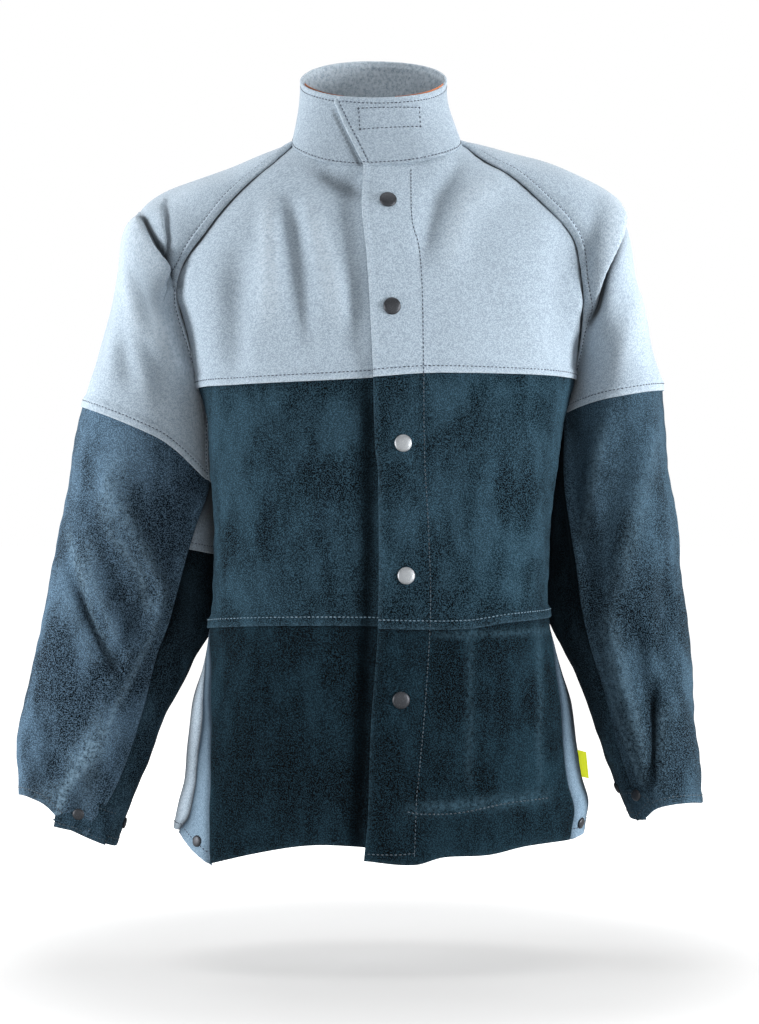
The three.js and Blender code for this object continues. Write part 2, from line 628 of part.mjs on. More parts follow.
function addCollar() {
  const lerp = THREE.MathUtils.lerp;
  const grid = makeGrid(COLLAR_GRID, (along, up) => {
    const end = lerp(COLLAR.endBase, COLLAR.endRim, up);
    const angle = lerp(COLLAR.start, end, along);
    const toEnd = radians(angle - end) * RIM.half;
    const cut = Math.max(COLLAR_CORNER - toEnd, 0);
    const drop = COLLAR_CORNER - Math.sqrt(COLLAR_CORNER ** 2 - cut ** 2);
    const height = RIM.sideHeight;
    return collarPoint(angle, up * (1 - drop / height));
  });
  addPanel({ name: "collar", grid, sign: -1, wall: COLLAR_WALL, material: COTTON, folded: false, inset: 0 });
  for (const side of Object.keys(SIDES)) {
    const [from, to] = TRIM[side];
    const rim = makeGrid(TRIM_GRID, (along, up) => {
      const angle = lerp(to, from, along);
      const point = collarPoint(angle, 1);
      const outward = new THREE.Vector3(point.x, point.y, 0).normalize();
      point.addScaledVector(outward, -(COLLAR_WALL + TRIM.inset));
      point.z += lerp(-TRIM.depth, TRIM.stand, up);
      return point;
    });
    addPanel({
      name: `collar_trim_${side}`, grid: rim, sign: 1, wall: TRIM_WALL, material: TRIM_CLOTH, folded: false, inset: 0,
    });
  }
}

// First meeting of a ray with a panel: point and outward normal.
function meet(host, origin, direction) {
  const caster = new THREE.Raycaster(origin, direction);
  const [hit] = caster.intersectObject(host);
  return hit ? { point: hit.point, normal: hit.face.normal.clone() } : undefined;
}

// Ray that looks for the seat of a snap.
function snapRay({ name, x, z, from }) {
  const side = name.includes("right") ? -1 : 1;
  if (from === "front") return [new THREE.Vector3(x, -FAR, z), new THREE.Vector3(0, 1, 0)];
  if (from === "flank") return [new THREE.Vector3(side * FAR, x, z), new THREE.Vector3(-side, 0, 0)];
  return [new THREE.Vector3(0, x, z), new THREE.Vector3(side, 0, 0)];
}

function addSnaps() {
  jacket.updateMatrixWorld(true);
  for (const snap of SNAPS) {
    const host = jacket.getObjectByName(snap.host);
    const [origin, direction] = snapRay(snap);
    const seat = meet(host, origin, direction);
    const radius = snap.size.diameter / 2;
    const turn = new THREE.Quaternion().setFromUnitVectors(new THREE.Vector3(0, 1, 0), seat.normal);
    let high = 0;
    for (let step = 0; step < SNAP_SEGMENTS; step++) {
      const around = (2 * Math.PI * step) / SNAP_SEGMENTS;
      const spoke = new THREE.Vector3(Math.cos(around), 0, Math.sin(around)).multiplyScalar(radius);
      const start = spoke.applyQuaternion(turn).add(seat.point).addScaledVector(seat.normal, radius);
      const touch = meet(host, start, seat.normal.clone().negate());
      if (touch) high = Math.max(high, touch.point.sub(seat.point).dot(seat.normal));
    }
    const profile = SNAP_PROFILE.map((row) => new THREE.Vector2(row.radius * radius, row.rise * snap.size.rise));
    const geometry = new THREE.LatheGeometry(profile, SNAP_SEGMENTS);
    geometry.applyQuaternion(turn);
    const place = seat.point.clone().addScaledVector(seat.normal, high + SEAT_GAP);
    geometry.translate(place.x, place.y, place.z);
    addMesh(snap.name, geometry, METAL);
  }
}

function addLabel() {
  const root = bodyPoint(LABEL.angle, LABEL.height);
  const hosts = ["side_panel_left", "back_panel"].map((name) => jacket.getObjectByName(name));
  const inwards = new THREE.Vector3(-1, 0, 0);
  let outermost = 0;
  for (const height of LABEL_HEIGHTS) {
    for (const depth of LABEL_FACES) {
      const start = new THREE.Vector3(FAR, root.y + depth * LABEL.wall, root.z + height * LABEL.length);
      for (const host of hosts) outermost = Math.max(outermost, meet(host, start, inwards)?.point.x ?? 0);
    }
  }
  const geometry = new THREE.BoxGeometry(LABEL.width, LABEL.wall, LABEL.length);
  geometry.translate(outermost + LABEL.width / 2 + SEAT_GAP, root.y, root.z);
  addMesh("label_tab", geometry, LABEL_CLOTH);
}

addFronts();
addSidesAndBack();
addSleeves();
addCollar();
addSnaps();
addLabel();

export default jacket;
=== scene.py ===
"""Looks of a welding jacket, shaped as on a wearer: blue-grey cotton above, dark suede below, closed with
snaps.
"""

import logging
import math
from dataclasses import dataclass, field
from enum import Enum
from functools import partial
from typing import Callable

import bmesh
import bpy
import numpy as np
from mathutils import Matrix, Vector
from mathutils.bvhtree import BVHTree


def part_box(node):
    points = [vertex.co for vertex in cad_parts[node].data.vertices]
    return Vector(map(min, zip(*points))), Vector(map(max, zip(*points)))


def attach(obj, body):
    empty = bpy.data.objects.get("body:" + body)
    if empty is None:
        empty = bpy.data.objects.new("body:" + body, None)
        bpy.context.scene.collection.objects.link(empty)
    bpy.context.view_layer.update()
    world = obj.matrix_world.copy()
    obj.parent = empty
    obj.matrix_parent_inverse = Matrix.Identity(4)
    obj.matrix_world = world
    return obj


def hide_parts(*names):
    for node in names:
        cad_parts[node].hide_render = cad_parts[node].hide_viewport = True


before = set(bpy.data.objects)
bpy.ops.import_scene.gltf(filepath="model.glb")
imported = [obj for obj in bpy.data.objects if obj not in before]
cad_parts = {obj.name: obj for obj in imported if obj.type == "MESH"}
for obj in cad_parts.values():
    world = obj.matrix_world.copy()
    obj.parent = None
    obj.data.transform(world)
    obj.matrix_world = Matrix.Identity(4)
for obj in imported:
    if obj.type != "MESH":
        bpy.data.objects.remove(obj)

LOG = logging.getLogger("jacket")
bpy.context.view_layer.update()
BLACK = (0.0, 0.0, 0.0, 1.0)
WHITE = (1.0, 1.0, 1.0, 1.0)
BODY = "root"
MM = 0.001
FAR = 900.0
FULL_TURN = 360.0

Array = np.ndarray
Socket = bpy.types.NodeSocket
Colour = tuple[float, float, float, float]
Line = list[tuple[float, float]]
Course = Callable[[Array], Array]
Shade = Callable[[Array], Array]


def smoothstep(value: Array, low: float, high: float) -> Array:
    """Smooth rise from 0 at low to 1 at high."""
    part = np.clip((value - low) / (high - low), 0.0, 1.0)
    return part * part * (3.0 - 2.0 * part)


def lerp(first: Array, second: Array, share: Array) -> Array:
    """Value at a share of the way from the first to the second."""
    return first + (second - first) * share


def unit(vectors: Array) -> Array:
    """Vectors at length one."""
    return vectors / np.maximum(np.linalg.norm(vectors, axis=-1, keepdims=True), 1e-9)


def pick(mask: Array, first: Array, second: Array) -> Array:
    """First where the mask holds, else second; a vector takes the mask of its point."""
    wide = mask[..., None] if first.ndim > mask.ndim else mask
    return np.where(wide, first, second)


def level(value: float) -> Course:
    """Course with the same value everywhere.

    Args:
        value: the value.

    Returns:
        The course.
    """

    def value_at(places: Array) -> Array:
        """Value at places."""
        return np.full(np.shape(places), value)

    return value_at


def fixed(values: Array) -> Course:
    """Course with one value for each grid point, wherever it lies.

    Args:
        values: values by row and column.

    Returns:
        The course.
    """

    def value_at(points: Array) -> Array:
        """Value at points."""
        return values

    return value_at


class Table:
    """Rows of numbers with named columns, read smoothly by the first column."""

    def __init__(self, columns: str, rows: list[tuple[float, ...]]) -> None:
        """Keep the rows.

        Args:
            columns: names of the columns, parted by spaces.
            rows: rows in rising order of the first column.
        """
        self.columns = columns.split()
        self.values = np.array(rows, float)

    def column(self, name: str) -> Array:
        """All values of one column."""
        return self.values[:, self.columns.index(name)]

    def read(self, at: Array, name: str) -> Array:
        """Read one column between the rows.

        Args:
            at: places in the first column.
            name: name of the column to read.

        Returns:
            The values there, flat beyond both ends.
        """
        keys = self.values[:, 0]
        data = self.column(name)
        last = len(keys) - 1
        at = np.clip(np.asarray(at, float), keys[0], keys[-1])
        low = np.clip(np.searchsorted(keys, at, side="right") - 1, 0, last - 1)
        before = np.maximum(low - 1, 0)
        after = np.minimum(low + 2, last)
        span = keys[low + 1] - keys[low]
        part = (at - keys[low]) / span
        start = (data[low + 1] - data[before]) / (keys[low + 1] - keys[before]) * span
        end = (data[after] - data[low]) / (keys[after] - keys[low]) * span
        square = part * part
        cube = square * part
        from_low = (2 * cube - 3 * square + 1) * data[low] + (cube - 2 * square + part) * start
        return from_low + (3 * square - 2 * cube) * data[low + 1] + (cube - square) * end

    def course(self, name: str) -> Course:
        """One column as a function of the first."""
        return partial(self.read, name=name)


class Side(Enum):
    """Side of the wearer, with its sign along X."""

    RIGHT = -1
    LEFT = 1

    @property
    def word(self) -> str:
        """Name that the pieces of this side carry."""
        return self.name.lower()


class Edge(Enum):
    """Edge of a panel's grid: its first and last column, its first and last row."""

    START = 0
    END = 1
    FIRST = 2
    LAST = 3


class Cloth(Enum):
    """Cloth that a panel is cut from."""

    COTTON = "cotton"
    SUEDE = "leather"


@dataclass(frozen=True)
class BodyForm:
    """Form of the trunk as stacked ovals, in millimetres."""

    pinch_from: float = 72.0
    pinch_to: float = 93.0
    sections: Table = Table("height right left front back square pinch", [
        (-760, 214, 214, 126, 130, 2.6, 0), (-712, 210, 223, 127, 132, 2.6, 0),
        (-691, 206, 227, 128, 133, 2.6, 0), (-666, 199, 220, 129, 134, 2.6, 0),
        (-628, 196, 214, 130, 136, 2.6, 0), (-585, 191, 207, 131, 138, 2.6, 0),
        (-545, 180, 197, 132, 139, 2.7, 0.02), (-490, 173, 186, 133, 140, 2.9, 0.07),
        (-435, 171, 186, 134, 140, 3, 0.08), (-374, 171, 192, 134, 140, 3, 0.08),
        (-327, 174, 199, 134, 141, 2.9, 0.075), (-281, 180, 205, 134, 142, 2.7, 0.035),
        (-246, 187, 211, 133, 143, 2.5, 0), (-213, 195, 218, 131, 143, 2.5, 0),
        (-180, 206, 228, 128, 142, 2.5, 0), (-155, 213, 234, 125, 140, 2.5, 0),
        (-120, 209, 235, 118, 136, 2.5, 0), (-93, 198, 228, 111, 131, 2.5, 0),
        (-68, 180, 212, 101, 125, 2.4, 0), (-48, 161, 193, 91, 119, 2.3, 0),
        (-34, 144, 173, 84, 114, 2.2, 0), (-22, 125, 148, 78, 109, 2.1, 0),
        (-10, 105, 118, 72, 104, 2.0, 0), (5, 86, 87, 64, 95, 2.0, 0), (18, 74, 75, 56, 86, 2.0, 0),
        (31, 66, 66, 50, 76, 2.0, 0), (45, 60, 60, 45, 66, 2.0, 0),
    ])
    neckline: Table = Table("angle height", [
        (0, -33.5), (30, -28), (60, -11), (76, 1), (90, 8), (110, 15), (132, 22), (180, 31),
    ])

    def point(self, angle: Array, height: Array) -> Array:
        """Point of the form.

        Args:
            angle: degrees from the centre front, positive to the wearer's left.
            height: height above the collar seam.

        Returns:
            Points, with X, Y and Z on the last axis.
        """
        angle, height = np.broadcast_arrays(np.asarray(angle, float), np.asarray(height, float))
        across = np.sin(np.radians(angle))
        forward = np.cos(np.radians(angle))
        value = partial(self.sections.read, height)
        half = np.where(across < 0, value("right"), value("left"))
        depth = np.where(forward > 0, value("front"), value("back"))
        square = value("square")
        total = (np.abs(across) / half) ** square + (np.abs(forward) / depth) ** square
        radius = total ** (-1.0 / square)
        turned = np.degrees(np.arccos(np.clip(forward, -1.0, 1.0)))
        drawn = value("pinch") * smoothstep(turned, self.pinch_from, self.pinch_to)
        return np.stack([radius * across * (1.0 - drawn), -radius * forward, height], axis=-1)

    def front_angle(self, x: Array, height: Array) -> Array:
        """Angle from the centre front of a point across the front."""
        return np.degrees(np.arctan2(x, self.sections.read(height, "front")))

    def neck_height(self, angle: Array) -> Array:
        """Height of the collar seam at an angle."""
        folded = np.abs((np.asarray(angle, float) + 180.0) % 360.0 - 180.0)
        return self.neckline.read(folded, "height")


TRUNK = BodyForm()

EDGES = {
    Side.RIGHT: Table("height front back", [
        (-760, 61.5, 78), (-719, 61.8, 77.6), (-697, 62.2, 71.5), (-640, 63.5, 71.3), (-585, 66, 71),
        (-540, 70, 77), (-500, 76, 84), (-420, 84, 90), (-350, 89, 92.4), (-290, 92.3, 92.9),
        (-270, 89, 96), (-246, 85, 99), (-213, 80.5, 102), (-180, 79.4, 104), (-155, 79, 105.6),
        (-121, 73, 108.4), (-102, 68.5, 109.6), (-69, 67, 113), (-45, 66, 116.5), (-23, 65, 120),
        (-2.5, 71, 125), (22, 71, 132),
    ]),
    Side.LEFT: Table("height front back", [
        (-760, 72, 88), (-723, 71.9, 88), (-662, 70.8, 87), (-580, 72.2, 84), (-520, 75, 86),
        (-487, 78, 88), (-420, 84, 91), (-330, 89, 92.2), (-258, 92.3, 92.9), (-240, 88, 97),
        (-213, 82, 100), (-190, 77, 102.5), (-164, 74.7, 104.5), (-136, 73, 106.5), (-106, 72.6, 109),
        (-68, 69, 113), (-34, 68, 118), (-20, 66.5, 121), (0, 74, 126), (22, 74, 132),
    ]),
}


def edge_angle(side: Side, edge: str, turn: float = 0.0) -> Course:
    """Angle of one edge of a side panel, as a function of height.

    Args:
        side: side of the wearer.
        edge: front or back, as the table names it.
        turn: degrees to add.

    Returns:
        The angle by height.
    """

    def angle_at(height: Array) -> Array:
        """Angle at a height."""
        return turn + side.value * EDGES[side].read(height, edge)

    return angle_at


def neck_edge(first: float, second: float) -> Course:
    """Height of the collar seam by share of the way from one angle to another.

    Args:
        first: angle at share 0.
        second: angle at share 1.

    Returns:
        The height by share.
    """

    def height_at(share: Array) -> Array:
        """Height at a share."""
        return TRUNK.neck_height(lerp(first, second, share))

    return height_at


@dataclass(frozen=True)
class Section:
    """One or more sleeve sections: centre, outward reach, girth and the angles of the two long seams."""

    centre: Array
    reach: Array
    girth: Array
    front: Array
    back: Array

    def at(self, angle: Array) -> Array:
        """Points round the sections, zero at the outer line and negative to the front."""
        turn = np.radians(angle)[..., None]
        return self.centre + self.reach * np.cos(turn) + self.girth * np.sin(turn)


@dataclass(frozen=True)
class SleeveForm:
    """Form of one sleeve: arcs between the raglan seams down to station 1, closed ovals beyond it."""

    side: Side
    shoulder: Table
    arm: Table
    seams: Table
    tiers: Table
    cuff: Table
    under_tier: float
    station_length: float = 100.0
    least_arc: float = 1.02

    @property
    def length(self) -> float:
        """Length from the underarm to the cuff."""
        return float(self.arm.column("along")[-1])

    @property
    def cuff_way(self) -> Array:
        """Direction in which the sleeve runs out at its cuff."""
        rows = np.stack([self.arm.column(name)[-2:] for name in ("x", "y", "z")], axis=-1)
        return unit(rows[1] - rows[0])

    def station(self, along: Array) -> Array:
        """Station at a length below the underarm."""
        return 1.0 + np.asarray(along, float) / self.station_length

    def cuff_station(self, angle: Array) -> Array:
        """Station of the cuff hem at an angle round the sleeve."""
        folded = (np.asarray(angle, float) + 180.0) % 360.0 - 180.0
        return self.station(self.length - self.cuff.read(folded, "short"))

    def tier_station(self, angle: Array) -> Array:
        """Station of the seam between cotton and suede on the top sleeve."""
        return self.station(self.tiers.read(angle, "along"))

    def section(self, station: Array) -> Section:
        """Sections at stations along the sleeve.

        Args:
            station: stations from 0 at the neck, with 1 at the underarm.

        Returns:
            The sections, arcs above the underarm and ovals below it.
        """
        lower = self._oval(np.maximum(station, 1.0))
        upper = self._arc(np.minimum(station, 1.0))
        closed = np.asarray(station) > 1.0
        names = ("centre", "reach", "girth", "front", "back")
        return Section(*(pick(closed, getattr(lower, name), getattr(upper, name)) for name in names))

    def _oval(self, station: Array) -> Section:
        """Closed oval sections below the underarm.

        Args:
            station: stations from 1 on.

        Returns:
            The sections.
        """
        along = (station - 1.0) * self.station_length
        value = partial(self.arm.read, along)
        lean = np.radians(value("lean"))
        flat = np.zeros_like(lean)
        outward = np.stack([self.side.value * np.cos(lean), flat, np.sin(lean)], axis=-1)
        return Section(
            centre=np.stack([value("x"), value("y"), value("z")], axis=-1),
            reach=outward * value("half")[..., None],
            girth=np.stack([flat, value("depth"), flat], axis=-1),
            front=-self.seams.read(along, "front"),
            back=self.seams.read(along, "back"),
        )

    def _seam(self, station: Array, edge: str) -> Array:
        """Points of the front or back raglan seam on the trunk."""
        height = self.shoulder.read(station, edge)
        return TRUNK.point(edge_angle(self.side, edge)(height), height)

    def _arc(self, station: Array) -> Section:
        """Open arcs from the front raglan seam over the shoulder to the back one.

        Args:
            station: stations from 0 at the neck to 1 at the underarm.

        Returns:
            The sections.
        """
        value = partial(self.shoulder.read, station)
        front, back = self._seam(station, "front"), self._seam(station, "back")
        middle = (front + back) / 2.0
        outer = np.stack([value("x"), value("y"), value("z")], axis=-1)
        gap = np.linalg.norm(back - front, axis=-1) / 2.0
        depth = np.maximum(value("depth"), gap * self.least_arc)
        tuck = np.arcsin(gap / depth)
        reach = (outer - middle) / (1.0 + np.cos(tuck))[..., None]
        limit = 180.0 - np.degrees(tuck)
        return Section(
            centre=middle + reach * np.cos(tuck)[..., None],
            reach=reach,
            girth=unit(back - front) * depth[..., None],
            front=-limit,
            back=limit,
        )


SLEEVES = {
    Side.RIGHT: SleeveForm(
        side=Side.RIGHT,
        shoulder=Table("share front back x y z depth", [
            (0, -2.5, 22, -81, 12, 10, 40), (0.1, -23, 8, -113, 13, -2, 50),
            (0.2, -45, -12, -150, 14, -19, 58), (0.3, -69, -40, -190, 14, -33, 66),
            (0.4, -100, -72, -226, 13, -47, 74), (0.5, -121, -104, -250, 12, -64, 76),
            (0.58, -143, -130, -261, 11, -86, 76), (0.66, -162, -156, -267, 10, -112, 76),
            (0.76, -192, -190, -277, 8, -150, 75), (0.86, -225, -225, -287, 6, -193, 73),
            (0.94, -260, -260, -297, 5, -228, 70), (1, -290, -290, -305, 4, -254, 67),
        ]),
        arm=Table("along x y z half depth lean", [
            (0, -240, 6, -272, 67, 67, 16), (60, -244, 9, -335, 77, 65, 13.5),
            (135, -250, 9, -411, 84, 62, 13), (207, -257, 4, -483, 90, 57, 15),
            (244, -271, 0, -519, 83, 54, 17), (310, -292, -8, -582, 74, 50, 19),
            (381, -312, -14, -650, 68, 45, 22), (442, -322, -20, -710, 57, 38, 27.7),
        ]),
        seams=Table("along front back", [
            (0, 176, 176), (60, 160, 150), (115, 139, 130), (200, 122, 122), (244, 125, 122),
            (310, 135, 122), (381, 136, 122), (442, 118, 120),
        ]),
        tiers=Table("angle along", [
            (-180, 62), (-140, 55), (-90, 25), (0, 15), (90, 25), (140, 55), (180, 62),
        ]),
        cuff=Table("angle short", [(-180, 0), (-120, 0), (-85, 11), (-60, 9), (0, 0), (90, 0), (180, 0)]),
        under_tier=131.0,
    ),
    Side.LEFT: SleeveForm(
        side=Side.LEFT,
        shoulder=Table("share front back x y z depth", [
            (0, 0, 22, 81, 12, 10, 40), (0.1, -15, 8, 118, 13, 4, 50), (0.2, -32, -12, 156, 14, -7, 58),
            (0.3, -50, -38, 198, 14, -18, 66), (0.4, -76, -66, 232, 13, -34, 74),
            (0.5, -98, -92, 256, 12, -52, 78), (0.58, -118, -116, 269, 11, -76, 79),
            (0.66, -140, -142, 274, 10, -104, 79), (0.76, -170, -174, 279, 8, -144, 78),
            (0.86, -203, -206, 289, 6, -184, 77), (0.94, -236, -236, 298, 5, -220, 76),
            (1, -258, -258, 306, 4, -248, 74),
        ]),
        arm=Table("along x y z half depth lean", [
            (0, 257, 6, -253, 49, 74, 6), (86, 250.5, 9, -339, 61, 74, 6),
            (175, 253.6, 9, -428, 72, 72, 6), (229, 256, 4, -481, 75, 70, 7.5),
            (314, 279, -4, -565, 58, 66, 10), (373, 289.6, -12, -623, 51, 62, 11),
            (406, 297.6, -15, -655, 46.5, 58, 12), (451, 307, -20, -699, 38.5, 54, 13),
        ]),
        seams=Table("along front back", [
            (0, 176, 176), (80, 150, 140), (175, 128, 124), (229, 123, 122), (314, 134, 122),
            (373, 135, 122), (451, 138, 122),
        ]),
        tiers=Table("angle along", [(-180, 26), (-140, 18), (-90, 9), (0, 5), (90, 9), (140, 18), (180, 26)]),
        cuff=Table("angle short", [(-180, 0), (-150, 0), (-118, 10), (-90, 11), (-60, 8), (0, 0), (180, 0)]),
        under_tier=36.0,
    ),
}


@dataclass(frozen=True)
class CollarForm:
    """Form of the stand collar, a band whose left end laps over the right."""

    half: float = 78.0
    front: float = 75.0
    back: float = 75.0
    side_height: float = 73.0
    tilt: float = 33.0
    start: float = 13.0
    end_base: float = -367.0
    end_rim: float = -390.0
    lap: float = 3.4
    lap_from: float = 300.0
    lap_to: float = 336.0
    lift: float = 0.9
    lap_rise: float = 1.6
    bulge: float = -1.5
    corner: float = 8.0

    def point(self, angle: Array, share: Array) -> Array:
        """Point of the band.

        Args:
            angle: degrees along the band, from the centre front round the back to the flap.
            share: share of its height.

        Returns:
            Points, with X, Y and Z on the last axis.
        """
        angle, share = np.broadcast_arrays(np.asarray(angle, float), np.asarray(share, float))
        base = TRUNK.point(angle, TRUNK.neck_height(angle))
        lapped = smoothstep(-angle, self.lap_from, self.lap_to)
        base[..., 2] += self.lift + self.lap_rise * lapped
        forward = np.cos(np.radians(angle))
        depth = np.where(forward > 0, self.front, self.back)
        across = self.half * np.sin(np.radians(angle))
        rim = np.stack([across, -depth * forward, self.side_height - self.tilt * forward], axis=-1)
        point = lerp(base, rim, share[..., None])
        swell = self.lap * lapped + self.bulge * np.sin(np.pi * share)
        return point + self.outward(point) * swell[..., None]

    def outward(self, point: Array) -> Array:
        """Level direction away from the neck."""
        return unit(point * np.array((1.0, 1.0, 0.0)))

    def band(self, along: Array, up: Array) -> Array:
        """Points of the whole band, with the free corner of the flap rounded off.

        Args:
            along: shares along the band.
            up: shares of its height.

        Returns:
            The points.
        """
        end = lerp(self.end_base, self.end_rim, up)
        angle = lerp(self.start, end, along)
        to_end = np.radians(angle - end) * self.half
        cut = np.clip(self.corner - to_end, 0.0, self.corner)
        drop = self.corner - np.sqrt(self.corner**2 - cut**2)
        return self.point(angle, up * (1.0 - drop / self.side_height))


COLLAR = CollarForm()


@dataclass(frozen=True)
class Fold:
    """One fold or crease seen from the front; a negative rise is a valley.

    A crease may have a bank: cloth that stands up on the left of the line's way and drops steeply into it,
    and a painted shadow in its foot.
    """

    line: Line
    width: float
    rise: float
    sharp: float = 2.0
    fade: float = 0.25
    bank: float = 0.0
    bank_width: float = 15.0
    bank_foot: float = 6.0
    hang: float = 0.0
    hang_width: float = 12.0
    shadow: float = 0.0
    shadow_width: float = 4.0
    shadow_foot: float = 2.0

    def measure(self, x: Array, z: Array) -> tuple[Array, Array, Array]:
        """Place points of the front view against the line.

        Args:
            x: places across.
            z: heights.

        Returns:
            Distance to the line, positive on its left, the fading towards its ends, and the way to the left.
        """
        nearest = np.full(x.shape, np.inf)
        signed = np.zeros(x.shape)
        place = np.zeros(x.shape)
        leftward = np.zeros(x.shape + (2,))
        lengths = [math.dist(a, b) for a, b in zip(self.line, self.line[1:])]
        done = 0.0
        for (x0, z0), (x1, z1), length in zip(self.line, self.line[1:], lengths):
            share = np.clip(((x - x0) * (x1 - x0) + (z - z0) * (z1 - z0)) / length**2, 0.0, 1.0)
            away = np.hypot(x - x0 - share * (x1 - x0), z - z0 - share * (z1 - z0))
            left = ((x1 - x0) * (z - z0) - (z1 - z0) * (x - x0)) >= 0.0
            closer = away < nearest
            nearest = np.where(closer, away, nearest)
            signed = np.where(closer, np.where(left, away, -away), signed)
            place = np.where(closer, (done + share * length) / sum(lengths), place)
            leftward[closer] = ((z0 - z1) / length, (x1 - x0) / length)
            done += length
        ends = smoothstep(np.minimum(place, 1.0 - place), -self.fade, self.fade)
        return signed, ends, leftward

    def rise_at(self, x: Array, z: Array) -> Array:
        """Rise of this fold at points of the front view.

        Args:
            x: places across.
            z: heights.

        Returns:
            The rise, negative in a valley.
        """
        signed, ends, _ = self.measure(x, z)
        profile = self.rise * np.exp(-((np.abs(signed) / self.width) ** self.sharp))
        if self.bank:
            step = smoothstep(signed, 0.0, self.bank_foot)
            profile += self.bank * step * np.exp(-((np.maximum(signed, 0.0) / self.bank_width) ** 2))
        return profile * ends

    def shadow_at(self, x: Array, z: Array) -> Array:
        """Painted shadow in the foot of the crease at points of the front view."""
        signed, ends, _ = self.measure(x, z)
        return self.shadow * ends * np.exp(-(((signed + self.shadow_foot) / self.shadow_width) ** 2))

    def shift_at(self, x: Array, z: Array) -> Array:
        """Sideways shift of the bank over its crease.

        Args:
            x: places across.
            z: heights.

        Returns:
            Steps in X, Y and Z on the last axis.
        """
        signed, ends, leftward = self.measure(x, z)
        over = smoothstep(signed, 0.0, self.bank_foot) * np.exp(-((signed / self.hang_width) ** 2))
        by = -self.hang * ends * over
        return np.stack([by * leftward[..., 0], np.zeros(x.shape), by * leftward[..., 1]], axis=-1)


FOLDS = [
    Fold([(-207, -150), (-228, -112), (-249, -73)], 8, -9, 1.5, 0.12, bank=9, hang=9, shadow=0.9),
    Fold([(-217, -150), (-214, -105), (-221, -62)], 7, -5, 1.5, bank=5, bank_width=10, hang=6, shadow=0.5),
    Fold([(-263, -92), (-246, -160), (-226, -250)], 13, 6),
    Fold([(-252, -125), (-236, -178), (-230, -192)], 9, -5),
    Fold([(-226, -180), (-201, -240)], 9, 5),
    Fold([(-238, -205), (-219, -262)], 9, -6),
    Fold([(-262, -207), (-256, -250)], 10, -5),
    Fold([(-288, -150), (-292, -245)], 15, -4),
    Fold(
        [(219, -186), (237, -139), (255, -100), (262, -66)], 9, -10, 1.5, 0.12,
        bank=10, bank_width=22, hang=10, shadow=1.4, shadow_width=5, shadow_foot=3.5,
    ),
    Fold([(232, -64), (224, -110), (212, -152)], 13, -5),
    Fold([(282, -150), (262, -200), (250, -240)], 13, 4),
    Fold([(300, -190), (292, -240)], 10, -4),
    Fold([(-140, -130), (-146, -245)], 14, -9),
    Fold([(-106, -72), (-104, -190)], 12, 6),
    Fold([(-88, -67), (-68, -213)], 11, -7),
    Fold([(-64, -77), (-34, -190)], 12, 5),
    Fold([(-60, -34), (-36, -48), (-16, -58)], 12, -6, shadow=0.35, shadow_width=9, shadow_foot=0),
    Fold([(-22, -46), (-16, -215)], 12, -3),
    Fold([(196, -105), (196, -208)], 15, -5),
    Fold([(86, -28), (66, -62), (48, -130)], 11, -5),
    Fold([(124, -48), (92, -70), (78, -130)], 15, 4),
    Fold([(-272, -550), (-285, -529), (-318, -456)], 8, -6, 1.6, bank=6, hang=6, shadow=0.6),
    Fold([(-274, -358), (-238, -425), (-218, -470), (-228, -520)], 8, 5),
    Fold([(-296, -380), (-262, -470), (-246, -510)], 10, -5),
    Fold([(-300, -440), (-254, -540)], 7, 4),
    Fold([(-234, -470), (-268, -540), (-296, -570)], 8, -4),
    Fold([(-340, -690), (-309, -643), (-274, -615)], 14, 6),
    Fold([(-345, -600), (-322, -668)], 14, -5),
    Fold([(-300, -700), (-292, -640), (-282, -590)], 9, 4),
    Fold([(-262, -320), (-290, -450)], 18, 5),
    Fold([(276, -270), (236, -370), (196, -480)], 24, -7),
    Fold([(211, -292), (203, -436)], 13, -5),
    Fold([(240, -296), (226, -370), (214, -440)], 14, 6),
    Fold([(290, -300), (262, -420), (250, -470)], 12, 4),
    Fold([(241, -498), (254, -559), (286, -662)], 12, 7),
    Fold([(268, -500), (284, -590)], 10, -5),
    Fold([(293, -570), (289, -664)], 9, -9, 1.6, bank=6, hang=6, shadow=0.6),
    Fold([(-4, -262), (-3, -374), (-5, -485), (-15, -732)], 8, -2, fade=0.05, shadow=0.8, shadow_width=10),
    Fold([(308, -436), (301, -560)], 12, -5),
]


# Painted shadows by panel, drawn along lines of the front view.
SHADOWS = {
    "collar": [
        Fold([(-39.5, 27), (-10.8, -34)], 1, 0, fade=0.05, shadow=0.6, shadow_width=1.8, shadow_foot=2.2),
    ],
    "sleeve_leather_top_right": [
        Fold(
            [(-290, -650), (-306, -684), (-310, -708)], 1, 0,
            fade=0.2, shadow=0.5, shadow_width=9, shadow_foot=0,
        ),
        Fold([(-352, -648), (-350, -684)], 1, 0, fade=0.2, shadow=0.45, shadow_width=11, shadow_foot=0),
    ],
}
